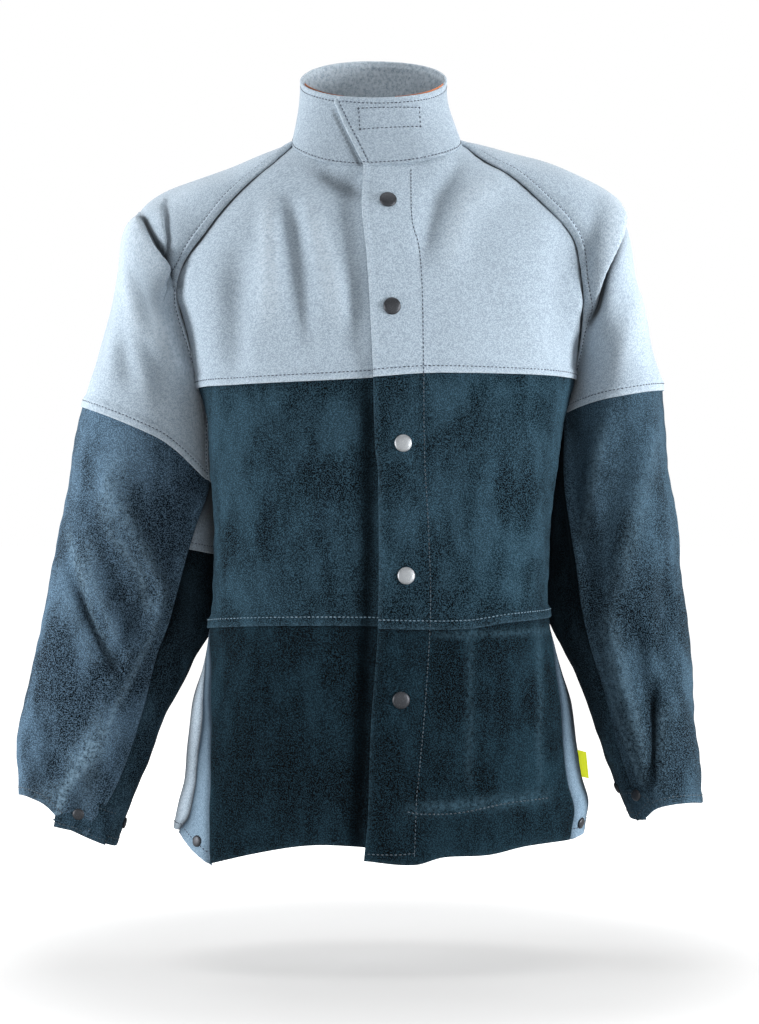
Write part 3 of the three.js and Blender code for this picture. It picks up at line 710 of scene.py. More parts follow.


# Paler marks by panel: real rubbing along the pocket of the left lower front, painted highlights along folds
# of the sleeves and the right armhole.
RUB_AND_HIGHLIGHT_MARKS = {
    "front_leather_lower_left": [
        Fold([(97, -500), (97, -660)], 4, 0.4),
        Fold([(170, -500), (170, -662)], 4, 0.35),
        Fold([(60, -510), (190, -508)], 4, 0.45),
        Fold([(36, -686), (176, -676)], 7, 0.6),
    ],
    "raglan_sleeve_right": [
        Fold([(-205, -176), (-192, -236), (-176, -300), (-164, -340)], 18, 0.6, fade=0.1),
        Fold([(-226, -250), (-200, -330), (-184, -372)], 16, 0.4, fade=0.1),
    ],
    "sleeve_leather_top_right": [
        Fold([(-321, -405), (-311, -436), (-293, -500), (-269, -545)], 4, 0.6),
        Fold([(-269, -410), (-243, -452), (-233, -488)], 5, 0.6),
        Fold([(-233, -519), (-259, -571), (-280, -613)], 4, 0.5),
        Fold([(-292, -628), (-303, -648), (-318, -670), (-326, -692), (-330, -706)], 5, 1.0, fade=0.1),
    ],
    "sleeve_leather_top_left": [
        Fold([(214, -498), (230, -540), (251, -592), (277, -665)], 4, 0.5),
        Fold([(236, -300), (226, -350), (214, -420)], 6, 0.4),
        Fold([(300, -590), (292, -640)], 5, 0.4),
    ],
}


@dataclass(frozen=True)
class Ripple:
    """Gentle random waves through space, the same for every run."""

    seed: int
    shortest: float
    longest: float
    height: float
    waves: int = 12

    def at(self, points: Array) -> Array:
        """Height of the waves.

        Args:
            points: points with X, Y and Z on the last axis.

        Returns:
            Heights along the cloth's normal.
        """
        chance = np.random.default_rng(self.seed)
        total = np.zeros(points.shape[:-1])
        for _ in range(self.waves):
            way = unit(chance.normal(size=3))
            length = chance.uniform(self.shortest, self.longest)
            phase = chance.uniform(0.0, 2.0 * np.pi)
            total += np.cos(points @ way * (2.0 * np.pi / length) + phase)
        return total * self.height / math.sqrt(self.waves / 2.0)


@dataclass(frozen=True)
class EdgeFinish:
    """How one edge of a panel is sewn: its relief in millimetres and its row of stitches."""

    lift: float = 0.0
    band: float = 8.0
    fade: float = 6.0
    roll: float = 0.0
    roll_width: float = 3.0
    stitch: float = 0.0
    groove: float = 0.4
    groove_width: float = 1.3
    pucker: float = 0.0
    over: float = 0.0
    under: float = 0.0
    stop: float = 1.5
    wear: float = 0.0
    # Painted shade along the edge, fading over its reach.
    dark: float = 0.0
    dark_reach: float = 4.0

    def relief(self, distance: Array) -> Array:
        """Rise of the cloth near the edge.

        Args:
            distance: distances from the edge.

        Returns:
            The rise there.
        """
        rise = self.lift * (1.0 - smoothstep(distance, self.band, self.band + self.fade))
        rise -= self.roll * np.exp(-((np.maximum(distance, 0.0) / self.roll_width) ** 2))
        if self.stitch:
            rise -= self.groove * np.exp(-(((distance - self.stitch) / self.groove_width) ** 2))
        return rise


# Edge finishes; dark paints shade along a seam.
CUT = EdgeFinish(pucker=0.15, dark=0.5)
TUCK = EdgeFinish(roll=1.2, roll_width=4.0, pucker=0.15, under=5, dark=0.8)
DITCH = EdgeFinish(roll=1.5, roll_width=4.0, pucker=0.15, dark=0.3)
SIDE_SEAM = EdgeFinish(roll=2.2, roll_width=3.0, pucker=0.15, dark=1.0, dark_reach=7.0)
SIDE_TUCK = EdgeFinish(roll=1.5, roll_width=4.0, pucker=0.15, under=4, dark=0.3)
BACK_TUCK = EdgeFinish(roll=2.0, roll_width=3.0, pucker=0.15, under=4, dark=1.0)
NECK_TUCK = EdgeFinish(pucker=0.1, under=6)
COTTON_LAP = EdgeFinish(lift=2.0, band=8, fade=8, stitch=7.5, pucker=0.15, over=5, wear=0.4)
SUEDE_LAP = EdgeFinish(lift=3.0, band=9, fade=6, stitch=9, pucker=0.15, over=5, wear=0.5)
RAGLAN_LAP = EdgeFinish(
    lift=1.9, band=8.5, fade=2.5, roll=0.9, roll_width=1.2, stitch=9.5, groove=0.8, pucker=0.15, wear=0.7,
)
FRONT_LAP = EdgeFinish(lift=0.6, band=3, fade=5, wear=0.3)
SUEDE_SIDE = EdgeFinish(roll=1.4, roll_width=3.0, wear=0.1, dark=0.25)
SUEDE_OVER = EdgeFinish(lift=1.3, band=4, fade=6, wear=0.3)
SUEDE_UNDER = EdgeFinish(roll=0.8, roll_width=4.0, under=5, dark=0.5)
COTTON_HEM = EdgeFinish(lift=0.5, band=11, fade=3, stitch=11, pucker=0.2, wear=0.3)
SUEDE_HEM = EdgeFinish(wear=0.4)
CUFF_HEM = EdgeFinish(lift=0.6, band=8, fade=4, stitch=8, wear=0.4)
TAB_EDGE = EdgeFinish(stitch=4.5, wear=0.25)
COLLAR_EDGE = EdgeFinish(lift=0.2, band=5, fade=2, stitch=6.5, groove=0.6, pucker=0.1, stop=6, wear=0.5)
COLLAR_BASE = EdgeFinish(stitch=3.2, groove=0.4, pucker=0.1)
PUCKERS = Ripple(seed=41, shortest=9, longest=17, height=1.0)
PUCKER_REACH = 13.0
WEAR_REACH = 2.5
# Fold ridges are painted paler by their height, up to a limit: rubbing and painted highlight together.
RIDGE_RUB_AND_HIGHLIGHT = 14.0
RIDGE_MOST = 0.45
# Painted shade: fold valleys darken the colour by their depth, up to a limit, and inner faces get a little
# painted shade.
PAINTED_SHADE_FOLD_DEPTH = 40.0
PAINTED_SHADE_MOST = 0.5
INNER_PAINTED_SHADE = 0.05
SEAM_HOLD = 14.0
SEAM_CLEAR = 2.0
FRONT_FACING = (-0.3, 0.35)
ROUND_REACH = 0.6
ROUND_LEAST = 0.2
DRAPE = Ripple(seed=11, shortest=60, longest=140, height=0.8)
GRAIN = {Cloth.COTTON: 0.0, Cloth.SUEDE: 0.25}
HIDE = Ripple(seed=29, shortest=18, longest=34, height=1.0)
WALLS = {Cloth.COTTON: 1.2, Cloth.SUEDE: 1.8}


def spaced(count: int, crowding: float = 0.75) -> Array:
    """Parameters from 0 to 1 that crowd together towards both ends."""
    steps = np.linspace(0.0, 1.0, count + 1)
    return steps - crowding * np.sin(2.0 * np.pi * steps) / (2.0 * np.pi)


def make_grid(steps: tuple[int, int], point_at: Callable[[Array, Array], Array]) -> Array:
    """Grid of points over the unit square.

    Args:
        steps: numbers of columns and rows.
        point_at: points at parameters across and along.

    Returns:
        Points by row and column.
    """
    across, along = np.meshgrid(spaced(steps[0]), spaced(steps[1]))
    return point_at(across, along)


def grid_normals(grid: Array, sign: int) -> Array:
    """Unit normals of a grid.

    Args:
        grid: points by row and column.
        sign: 1 along the turn from columns to rows, -1 against it.

    Returns:
        Normals by row and column.
    """
    across = np.gradient(grid, axis=1)
    along = np.gradient(grid, axis=0)
    return unit(np.cross(across, along)) * sign


def edge_distances(grid: Array) -> dict[Edge, Array]:
    """Distance of every grid point from each edge, measured along the cloth.

    Args:
        grid: points by row and column.

    Returns:
        Distances by edge.
    """
    across = np.linalg.norm(np.diff(grid, axis=1), axis=2)
    along = np.linalg.norm(np.diff(grid, axis=0), axis=2)
    start = np.pad(np.cumsum(across, axis=1), ((0, 0), (1, 0)))
    first = np.pad(np.cumsum(along, axis=0), ((1, 0), (0, 0)))
    return {
        Edge.START: start,
        Edge.END: start[:, -1:] - start,
        Edge.FIRST: first,
        Edge.LAST: first[-1:] - first,
    }


def cloth_uv(distance: dict[Edge, Array]) -> Array:
    """Cloth coordinates of a wall's outer and inner points, in metres."""
    uv = np.stack([distance[Edge.START], distance[Edge.FIRST]], axis=-1).reshape(-1, 2) * MM
    return np.concatenate([uv, uv])


def read_row(at: float, places: Array, values: Array) -> Array:
    """Values along one row, read at a place; vectors are read part by part."""
    parts = np.atleast_2d(values.T)
    return np.squeeze([np.interp(at, places, part) for part in parts])


def extend(grid: Array, edge: Edge, reach: float, steps: int = 3) -> Array:
    """Grid carried on past one edge, straight along the cloth.

    Args:
        grid: points by row and column.
        edge: edge to carry on from.
        reach: how far to go.
        steps: number of added columns or rows.

    Returns:
        The larger grid.
    """
    axis = 1 if edge in (Edge.START, Edge.END) else 0
    lines = np.moveaxis(grid, axis, 0)
    ahead = edge in (Edge.END, Edge.LAST)
    ordered = lines if ahead else lines[::-1]
    way = unit(ordered[-1] - ordered[-3])
    added = [ordered[-1] + way * (reach * step / steps) for step in range(1, steps + 1)]
    longer = np.concatenate([ordered, np.array(added)])
    return np.moveaxis(longer if ahead else longer[::-1], 0, axis)


def soften(grid: Array, passes: int) -> Array:
    """Grid smoothed along its columns, with its first and last rows held.

    Args:
        grid: points by row and column.
        passes: how often to smooth.

    Returns:
        The smoothed grid.
    """
    for _ in range(passes):
        inner = (grid[:-2] + 2.0 * grid[1:-1] + grid[2:]) / 4.0
        grid = np.concatenate([grid[:1], inner, grid[-1:]])
    return grid


def grid_quads(rows: int, columns: int) -> Array:
    """Corner numbers of the faces of a grid."""
    first = (np.arange(rows - 1)[:, None] * columns + np.arange(columns - 1)).ravel()
    return np.stack([first, first + 1, first + columns + 1, first + columns], axis=1)


def wall_quads(rows: int, columns: int, sign: int) -> Array:
    """Corner numbers of a closed wall: outer grid, inner grid and rim.

    Args:
        rows: rows of each grid.
        columns: columns of each grid.
        sign: side of the grid that faces out, as in grid_normals.

    Returns:
        Four corners for each face.
    """
    outer = grid_quads(rows, columns)
    under = rows * columns
    numbers = np.arange(under).reshape(rows, columns)
    rim = np.concatenate([numbers[0, :-1], numbers[:-1, -1], numbers[-1, :0:-1], numbers[:0:-1, 0]])
    after = np.roll(rim, -1)
    edge = np.stack([after, rim, rim + under, after + under], axis=1)
    quads = np.concatenate([outer, outer[:, ::-1] + under, edge])
    return quads if sign > 0 else quads[:, ::-1]


def make_object(
    name: str,
    points: Array,
    quads: Array,
    material: bpy.types.Material,
    uv: Array | None = None,
    wear: Array | None = None,
    hollow: Array | None = None,
) -> bpy.types.Object:
    """Mesh object from points in millimetres.

    Args:
        name: name of the object.
        points: corner points.
        quads: corner numbers of the faces.
        material: finish of all faces.
        uv: cloth coordinates of the points, in metres.
        wear: rubbing and painted highlight of the points, from 0 to 1.
        hollow: painted shade of the points in folds, creases, seams and shaded places, from 0 to 1.

    Returns:
        The object, smooth shaded, at the origin.
    """
    mesh = bpy.data.meshes.new(name)
    sides = quads.shape[1]
    mesh.vertices.add(len(points))
    mesh.vertices.foreach_set("co", (points * MM).astype(np.float32).ravel())
    mesh.loops.add(quads.size)
    mesh.loops.foreach_set("vertex_index", quads.astype(np.int32).ravel())
    mesh.polygons.add(len(quads))
    mesh.polygons.foreach_set("loop_start", np.arange(0, quads.size, sides, dtype=np.int32))
    mesh.polygons.foreach_set("use_smooth", np.ones(len(quads), bool))
    if uv is not None:
        layer = mesh.uv_layers.new(name="Cloth")
        layer.uv.foreach_set("vector", uv[quads.ravel()].astype(np.float32).ravel())
    # Attributes of rubbing with painted highlights and of painted shade.
    for label, values in (("wear", wear), ("hollow", hollow)):
        if values is not None:
            attribute = mesh.attributes.new(label, "FLOAT", "POINT")
            attribute.data.foreach_set("value", values.astype(np.float32))
    mesh.materials.append(material)
    mesh.update()
    mesh.validate()
    return place_object(name, mesh)


def place_object(name: str, data: bpy.types.ID) -> bpy.types.Object:
    """Object for a mesh, curve, light or camera, linked into the scene at the origin.

    Args:
        name: name of the object.
        data: what it holds.

    Returns:
        The object.
    """
    made = bpy.data.objects.new(name, data)
    bpy.context.scene.collection.objects.link(made)
    return made


def make_strip(name: str, outer: Array, wall: float, material: bpy.types.Material) -> bpy.types.Object:
    """Thin closed strip behind an outer grid.

    Args:
        name: name of the object.
        outer: points by row and column.
        wall: thickness.
        material: finish of all faces.

    Returns:
        The object.
    """
    inner = outer - grid_normals(outer, 1) * wall
    points = np.concatenate([outer.reshape(-1, 3), inner.reshape(-1, 3)])
    quads = wall_quads(*outer.shape[:2], 1)
    return make_object(name, points, quads, material, cloth_uv(edge_distances(outer)))


@dataclass
class Seam:
    """A row of stitches: its points and the normals of the cloth there, in millimetres."""

    points: Array
    normals: Array


@dataclass
class Panel:
    """One cut piece of cloth as a thin closed wall over a form."""

    node: str
    cloth: Cloth
    base: Array
    sign: int
    edges: dict[Edge, EdgeFinish]
    lift: Course | None = None
    # Painted shade over the panel, by point.
    shade: Shade | None = None
    folded: bool = True
    wall: float = 0.0
    inner_wear: float = 0.0
    rests_on: str = "collar"
    outer: Array = field(init=False)
    normals: Array = field(init=False)
    distance: dict[Edge, Array] = field(init=False)
    # Rubbing with painted highlights, and painted shade, by row and column.
    wear: Array = field(init=False)
    hollow: Array = field(init=False)

    def __post_init__(self) -> None:
        """Work out the outer face."""
        self.wall = self.wall or WALLS[self.cloth]
        for edge, finish in self.edges.items():
            if finish.under:
                self.base = extend(self.base, edge, finish.under)
        self.distance = edge_distances(self.base)
        normals = grid_normals(self.base, self.sign)
        rise = self._relief(normals)
        self.outer = self.base + normals * rise[..., None] + self._shift(normals)
        self.normals = grid_normals(self.outer, self.sign)

    def _front_hold(self, normals: Array) -> Array:
        """Share of the front folds that each point takes: none at the sides or at the long seams."""
        facing = smoothstep(-normals[..., 1], *FRONT_FACING)
        return facing * smoothstep(self.from_seam(Edge.START, Edge.END), 0.0, SEAM_HOLD)

    def _shift(self, normals: Array) -> Array:
        """Sideways shift of folded cloth that hangs over a crease.

        Args:
            normals: normals of the form.

        Returns:
            Steps in X, Y and Z on the last axis.
        """
        if not self.folded:
            return np.zeros(self.base.shape)
        x, z = self.base[..., 0], self.base[..., 2]
        return self._front_hold(normals)[..., None] * sum(item.shift_at(x, z) for item in FOLDS if item.hang)

    def _relief(self, normals: Array) -> Array:
        """Rise of the cloth over its form: laps, folds, waves and sewn edges.

        Its rubbing with painted highlights and its painted shade are kept on the way.

        Args:
            normals: normals of the form.

        Returns:
            The rise along the normals.
        """
        x, z = self.base[..., 0], self.base[..., 2]
        rise = self.lift(self.base) if self.lift else np.zeros(x.shape)
        hold = self._front_hold(normals)
        self.wear = np.zeros(x.shape)
        self.hollow = np.zeros(x.shape)
        if self.folded:
            fold = hold * sum(item.rise_at(x, z) for item in FOLDS)
            # Painted highlight: fold ridges are paler, as well as rubbed.
            self.wear += np.clip(fold / RIDGE_RUB_AND_HIGHLIGHT, 0.0, RIDGE_MOST)
            # Painted shade: fold valleys and the feet of creases are darker.
            shadow = hold * sum(item.shadow_at(x, z) for item in FOLDS if item.shadow)
            self.hollow += np.clip(-fold / PAINTED_SHADE_FOLD_DEPTH, 0.0, PAINTED_SHADE_MOST) + shadow
            rise = rise + fold
        # Painted shadows drawn along lines of this panel.
        for item in SHADOWS.get(self.node, []):
            self.hollow += hold * item.shadow_at(x, z)
        # Paler marks along lines of this panel: rubbing, and painted highlights.
        for mark in RUB_AND_HIGHLIGHT_MARKS.get(self.node, []):
            self.wear += hold * mark.rise_at(x, z)
        inside = smoothstep(self.from_seam(*Edge), SEAM_CLEAR, SEAM_HOLD)
        rise = rise + DRAPE.at(self.base) + GRAIN[self.cloth] * inside * HIDE.at(self.base)
        pucker = PUCKERS.at(self.base)
        # Painted shade over the panel where it lies in shade.
        self.hollow += self.shade(self.base) if self.shade else 0.0
        for edge, finish in self.edges.items():
            away = self.distance[edge] - finish.under
            shown = np.maximum(away, 0.0)
            self.hollow += finish.dark * np.exp(-shown / finish.dark_reach)
            rise = rise + finish.relief(away)
            rise = rise + finish.pucker * pucker * np.exp(-shown / PUCKER_REACH)
            self.wear += finish.wear * np.exp(-shown / WEAR_REACH)
        return rise

    def from_seam(self, *edges: Edge) -> Array:
        """Distance of every point from the nearest of the given seams."""
        tucked = {edge: finish.under for edge, finish in self.edges.items()}
        return np.minimum.reduce([self.distance[edge] - tucked.get(edge, 0.0) for edge in edges])

    def build(self, material: bpy.types.Material) -> bpy.types.Object:
        """Args:
            material: finish of the cloth.

        Returns:
            The piece, standing for its CAD node.
        """
        rows, columns = self.outer.shape[:2]
        nearest = np.minimum.reduce([self.distance[edge] for edge in Edge])
        turn = 1.0 - np.clip(nearest / (self.wall * ROUND_REACH), 0.0, 1.0)
        half = self.wall / 2.0 * np.maximum(np.sqrt(1.0 - turn**2), ROUND_LEAST)
        middle = self.outer - self.normals * (self.wall / 2.0)
        faces = [middle + self.normals * half[..., None], middle - self.normals * half[..., None]]
        points = np.concatenate([face.reshape(-1, 3) for face in faces])
        inside = np.ones(rows * columns)
        wear = np.concatenate([np.clip(self.wear, 0.0, 1.0).ravel(), inside * self.inner_wear])
        # The inner face gets a little painted shade.
        hollow = np.concatenate([np.clip(self.hollow, 0.0, 1.0).ravel(), inside * INNER_PAINTED_SHADE])
        quads = wall_quads(rows, columns, self.sign)
        uv = cloth_uv(self.distance)
        piece = make_object(f"{self.node}_sewn", points, quads, material, uv, wear, hollow)
        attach(piece, BODY)
        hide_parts(self.node)
        width, length, area = self.cut_size()
        return piece

    def cut_size(self) -> tuple[float, float, float]:
        """Measure the flat cut.

        Returns:
            Its width and length in metres and its area in square metres.
        """
        width = float(self.distance[Edge.START][:, -1].max()) * MM
        length = float(self.distance[Edge.FIRST][-1].max()) * MM
        across, along = np.diff(self.base, axis=1)[:-1], np.diff(self.base, axis=0)[:, :-1]
        area = float(np.linalg.norm(np.cross(across, along), axis=2).sum()) * MM * MM
        return width, length, min(area, width * length)

    def sewn_rows(self) -> list[Seam]:
        """Rows of stitches along the edges whose finish has them."""
        return [self.row_along(edge, f.stitch, f.stop) for edge, f in self.edges.items() if f.stitch]

    def row_along(self, edge: Edge, inset: float, margin: float) -> Seam:
        """Row at a distance from one edge.

        Args:
            edge: edge that the row follows.
            inset: distance from the edge.
            margin: distance from the neighbouring edges at which it stops.

        Returns:
            The row on the outer face.
        """
        away, points, normals = self.distance[edge], self.outer, self.normals
        along = self.distance[Edge.FIRST]
        beyond = self.distance[Edge.LAST]
        if edge in (Edge.FIRST, Edge.LAST):
            away, points, normals = away.T, points.transpose(1, 0, 2), normals.transpose(1, 0, 2)
            along, beyond = self.distance[Edge.START].T, self.distance[Edge.END].T
        if edge in (Edge.END, Edge.LAST):
            away, points, normals = away[:, ::-1], points[:, ::-1], normals[:, ::-1]
            along, beyond = along[:, ::-1], beyond[:, ::-1]
        nearest = np.minimum(
            [read_row(inset, *pair) for pair in zip(away, along)],
            [read_row(inset, *pair) for pair in zip(away, beyond)],
        )
        kept = np.flatnonzero(nearest > margin)
        ways = np.array([read_row(inset, away[row], normals[row]) for row in kept])
        return Seam(np.array([read_row(inset, away[row], points[row]) for row in kept]), unit(ways))

    def tree(self) -> BVHTree:
        """Search tree of the outer face."""
        rows, columns = self.outer.shape[:2]
        return BVHTree.FromPolygons(self.outer.reshape(-1, 3).tolist(), grid_quads(rows, columns).tolist())

    def row_over(self, line: Line, step: float = 2.0) -> Seam:
        """Row along a line of the front view, laid on the outer face.

        Args:
            line: points in X and Z.
            step: distance between the points of the row.

        Returns:
            The row on the outer face.
        """
        tree = self.tree()
        found = [tree.ray_cast((x, -FAR, z), (0.0, 1.0, 0.0)) for x, z in even_points(line, step)]
        hits = [(point, normal) for point, normal, _, _ in found if point is not None]
        points = np.array([tuple(point) for point, _ in hits])
        normals = np.array([tuple(normal) for _, normal in hits])
        return Seam(points, normals * np.where(normals[:, 1:2] > 0, -1.0, 1.0))


def even_points(line: Line, step: float) -> list[tuple[float, float]]:
    """Points at even steps along a smooth line through the given ones.

    Args:
        line: points in X and Z.
        step: distance between the points.

    Returns:
        The points.
    """
    given = np.array(line, float)
    places = np.pad(np.cumsum(np.linalg.norm(np.diff(given, axis=0), axis=1)), (1, 0))
    at = np.linspace(0.0, places[-1], max(int(places[-1] / step), 1) + 1)
    course = Table("place x z", [tuple(row) for row in np.column_stack([places, given])])
    return list(zip(course.read(at, "x"), course.read(at, "z")))


class Graph:
    """Shorthand for placing and linking nodes in one tree."""

    def __init__(self, tree: bpy.types.NodeTree) -> None:
        """Keep the tree."""
        self.tree = tree

    def fill(self, node: bpy.types.Node, inputs: dict[str | int, object]) -> None:
        """Link or set the inputs of a node.

        Args:
            node: the node.
            inputs: values or sockets by input name or number.
        """
        for key, value in inputs.items():
            if isinstance(value, Socket):
                self.tree.links.new(value, node.inputs[key])
            else:
                node.inputs[key].default_value = value

    def add(
        self, kind: str, inputs: dict[str | int, object] | None = None, **settings: object,
    ) -> bpy.types.Node:
        """Place one node.

        Args:
            kind: Blender's name of the node type.
            inputs: values or sockets by input name or number.
            settings: properties of the node.

        Returns:
            The node.
        """
        node = self.tree.nodes.new(kind)
        for name, value in settings.items():
            setattr(node, name, value)
        self.fill(node, inputs or {})
        return node

    def attribute(self, name: str) -> Socket:
        """Value of a point attribute."""
        return self.add("ShaderNodeAttribute", attribute_name=name).outputs["Fac"]

    def place(self) -> Socket:
        """Object coordinates, in metres."""
        return self.add("ShaderNodeTexCoord").outputs["Object"]

    def math(self, operation: str, *values: object) -> Socket:
        """Output of a Math node."""
        return self.add("ShaderNodeMath", dict(enumerate(values)), operation=operation).outputs[0]

    def mix(self, share: object, first: object, second: object) -> Socket:
        """Output of a colour mix."""
        inputs = {0: share, 6: first, 7: second}
        return self.add("ShaderNodeMix", inputs, data_type="RGBA").outputs[2]

    def ramp(self, value: Socket, low: float, high: float) -> Socket:
        """Value stretched from low and high to 0 and 1."""
        inputs = {0: value, 1: low, 2: high, 3: 0.0, 4: 1.0}
        return self.add("ShaderNodeMapRange", inputs, interpolation_type="SMOOTHSTEP").outputs[0]

    def noise(self, vector: Socket, scale: object, detail: float = 3.0, rough: float = 0.55) -> Socket:
        """Value of a noise texture."""
        inputs = {"Vector": vector, "Scale": scale, "Detail": detail, "Roughness": rough}
        return self.add("ShaderNodeTexNoise", inputs).outputs[0]


class Effects:
    """Shader groups that several finishes share."""

    def __init__(self) -> None:
        """Build each group."""
        self.twill = self._twill()
        self.nap = self._nap()
        self.rub = self._rub()

    @staticmethod
    def _group(
        name: str, inputs: dict[str, str], outputs: list[str],
    ) -> tuple[bpy.types.NodeTree, Graph, dict[str, Socket], dict[str, Socket]]:
        """Start a group.

        Args:
            name: name of the group.
            inputs: names of the inputs with their socket types.
            outputs: names of the value outputs.

        Returns:
            The tree, its graph, its input sockets and its output sockets.
        """
        tree = bpy.data.node_groups.new(name, "ShaderNodeTree")
        for label, kind in inputs.items():
            tree.interface.new_socket(label, in_out="INPUT", socket_type=kind)
        for label in outputs:
            tree.interface.new_socket(label, in_out="OUTPUT", socket_type="NodeSocketFloat")
        graph = Graph(tree)
        entry = graph.add("NodeGroupInput")
        leave = graph.add("NodeGroupOutput")
        return tree, graph, {s.name: s for s in entry.outputs}, {s.name: s for s in leave.inputs}

    def _twill(self) -> bpy.types.NodeTree:
        """Diagonal weave: height of the yarns and a slubby tone, over cloth coordinates in metres.

        Returns:
            The group.
        """
        wanted = {"Vector": "NodeSocketVector", "Pitch": "NodeSocketFloat"}
        tree, graph, given, made = self._group("twill", wanted, ["Height", "Tone"])
        bands = graph.math("DIVIDE", 0.6283, given["Pitch"])
        wave = graph.add("ShaderNodeTexWave", {
            "Vector": given["Vector"], "Scale": bands, "Distortion": 2.2, "Detail": 2.0, "Detail Scale": 1.4,
        }, wave_type="BANDS", bands_direction="DIAGONAL").outputs["Fac"]
        cell = graph.add("ShaderNodeCombineXYZ", {axis: given["Pitch"] for axis in range(3)}).outputs[0]
        snap = graph.add("ShaderNodeVectorMath", {0: given["Vector"], 1: cell}, operation="SNAP")
        white = graph.add("ShaderNodeTexWhiteNoise", {"Vector": snap.outputs[0]}, noise_dimensions="3D")
        yarn = white.outputs["Value"]
        slub = graph.noise(given["Vector"], graph.math("DIVIDE", 0.9, given["Pitch"]), 1.0, 0.5)
        tree.links.new(graph.math("ADD", graph.math("MULTIPLY", wave, 0.3), slub), made["Height"])
        grainy = graph.math("ADD", graph.math("MULTIPLY", slub, 0.1), graph.math("MULTIPLY", yarn, 0.6))
        tone = graph.math("ADD", grainy, graph.math("MULTIPLY", wave, 0.05))
        tree.links.new(tone, made["Tone"])
        return tree

    def _nap(self) -> bpy.types.NodeTree:
        """Brushed nap of suede: soft clouds, short upright smears and fine grain.

        Returns:
            The group.
        """
        wanted = {"Vector": "NodeSocketVector", "Blotch": "NodeSocketFloat", "Grain": "NodeSocketFloat"}
        tree, graph, given, made = self._group("nap", wanted, ["Mottle", "Grain", "Height"])
        cloud = graph.noise(given["Vector"], given["Blotch"], 2.0, 0.5)
        stretch = {0: given["Vector"], 1: (1.0, 1.0, 0.4)}
        upright = graph.add("ShaderNodeVectorMath", stretch, operation="MULTIPLY").outputs[0]
        smear = graph.noise(upright, graph.math("MULTIPLY", given["Blotch"], 4.0), 3.0, 0.5)
        grain = graph.noise(given["Vector"], given["Grain"], 1.0, 0.5)
        both = graph.math("ADD", graph.math("MULTIPLY", cloud, 0.5), graph.math("MULTIPLY", smear, 0.5))
        tree.links.new(graph.ramp(both, 0.4, 0.64), made["Mottle"])
        tree.links.new(graph.ramp(grain, 0.42, 0.64), made["Grain"])
        height = graph.math("ADD", grain, graph.math("MULTIPLY", smear, 0.5))
        tree.links.new(height, made["Height"])
        return tree

    def _rub(self) -> bpy.types.NodeTree:
        """Rubbed places and painted highlights: their mask broken up by a fine noise.

        Returns:
            The group.
        """
        wanted = {"Vector": "NodeSocketVector", "Wear": "NodeSocketFloat", "Amount": "NodeSocketFloat"}
        tree, graph, given, made = self._group("rub", wanted, ["Mask"])
        broken = graph.ramp(graph.noise(given["Vector"], 260.0, 4.0, 0.65), 0.3, 0.7)
        worn = graph.math("MULTIPLY", given["Wear"], broken)
        mask = graph.add("ShaderNodeClamp", {0: graph.math("MULTIPLY", worn, given["Amount"])})
        tree.links.new(mask.outputs[0], made["Mask"])
        return tree


def linear(value: float) -> float:
    """Linear part of a display value from 0 to 1."""
    return value / 12.92 if value <= 0.04045 else ((value + 0.055) / 1.055) ** 2.4


def srgb(red: int, green: int, blue: int) -> Colour:
    """Linear colour of display values from 0 to 255."""
    return (linear(red / 255), linear(green / 255), linear(blue / 255), 1.0)


def new_material(name: str) -> tuple[bpy.types.Material, Graph, bpy.types.Node]:
    """Start a material with a Principled shader.

    Args:
        name: name of the material.

    Returns:
        The material, its graph and the shader.
    """
    material = bpy.data.materials.new(name)
    material.use_nodes = True
    material.node_tree.nodes.clear()
    graph = Graph(material.node_tree)
    shader = graph.add("ShaderNodeBsdfPrincipled")
    graph.add("ShaderNodeOutputMaterial", {"Surface": shader.outputs[0]})
    return material, graph, shader


@dataclass(frozen=True)
class ClothFinish:
    """What the cloth finishes share: rubbed places with painted highlights, painted shade and a surface
    without much gloss.
    """

    name: str
    # Paler colour of rubbed places and of painted highlights.
    worn: Colour
    # Colour of painted shade, on suede also its darkest nap, and how much of it full painted shade mixes in.
    deep: Colour
    depth: float
    # Strength of rubbing and painted highlights, then sheen, roughness and gloss.
    rub: float
    sheen: float
    roughness: float
    gloss: float

    def age(self, graph: Graph, effects: Effects, fresh: Socket) -> Socket:
        """Rub a colour and paint highlights and shade on it.

        Args:
            graph: graph of the material.
            effects: shared shader groups.
            fresh: colour of the new cloth.

        Returns:
            The colour with rubbed places, painted highlights and painted shade.
        """
        rubbed = {"Vector": graph.place(), "Wear": graph.attribute("wear"), "Amount": self.rub}
        rub = graph.add("ShaderNodeGroup", rubbed, node_tree=effects.rub)
        colour = graph.mix(rub.outputs["Mask"], fresh, self.worn)
        # Painted shade: mix towards the shade colour by the painted shade attribute.
        return graph.mix(graph.math("MULTIPLY", graph.attribute("hollow"), self.depth), colour, self.deep)

    def surface(self, graph: Graph, shader: bpy.types.Node, colour: Socket, normal: Socket) -> None:
        """Set the shader up.

        Args:
            graph: graph of the material.
            shader: its Principled shader.
            colour: colour of the cloth.
            normal: its bumpy normal.
        """
        graph.fill(shader, {
            "Base Color": colour,
            "Normal": normal,
            "Roughness": self.roughness,
            "Sheen Weight": self.sheen,
            "Specular IOR Level": self.gloss,
        })


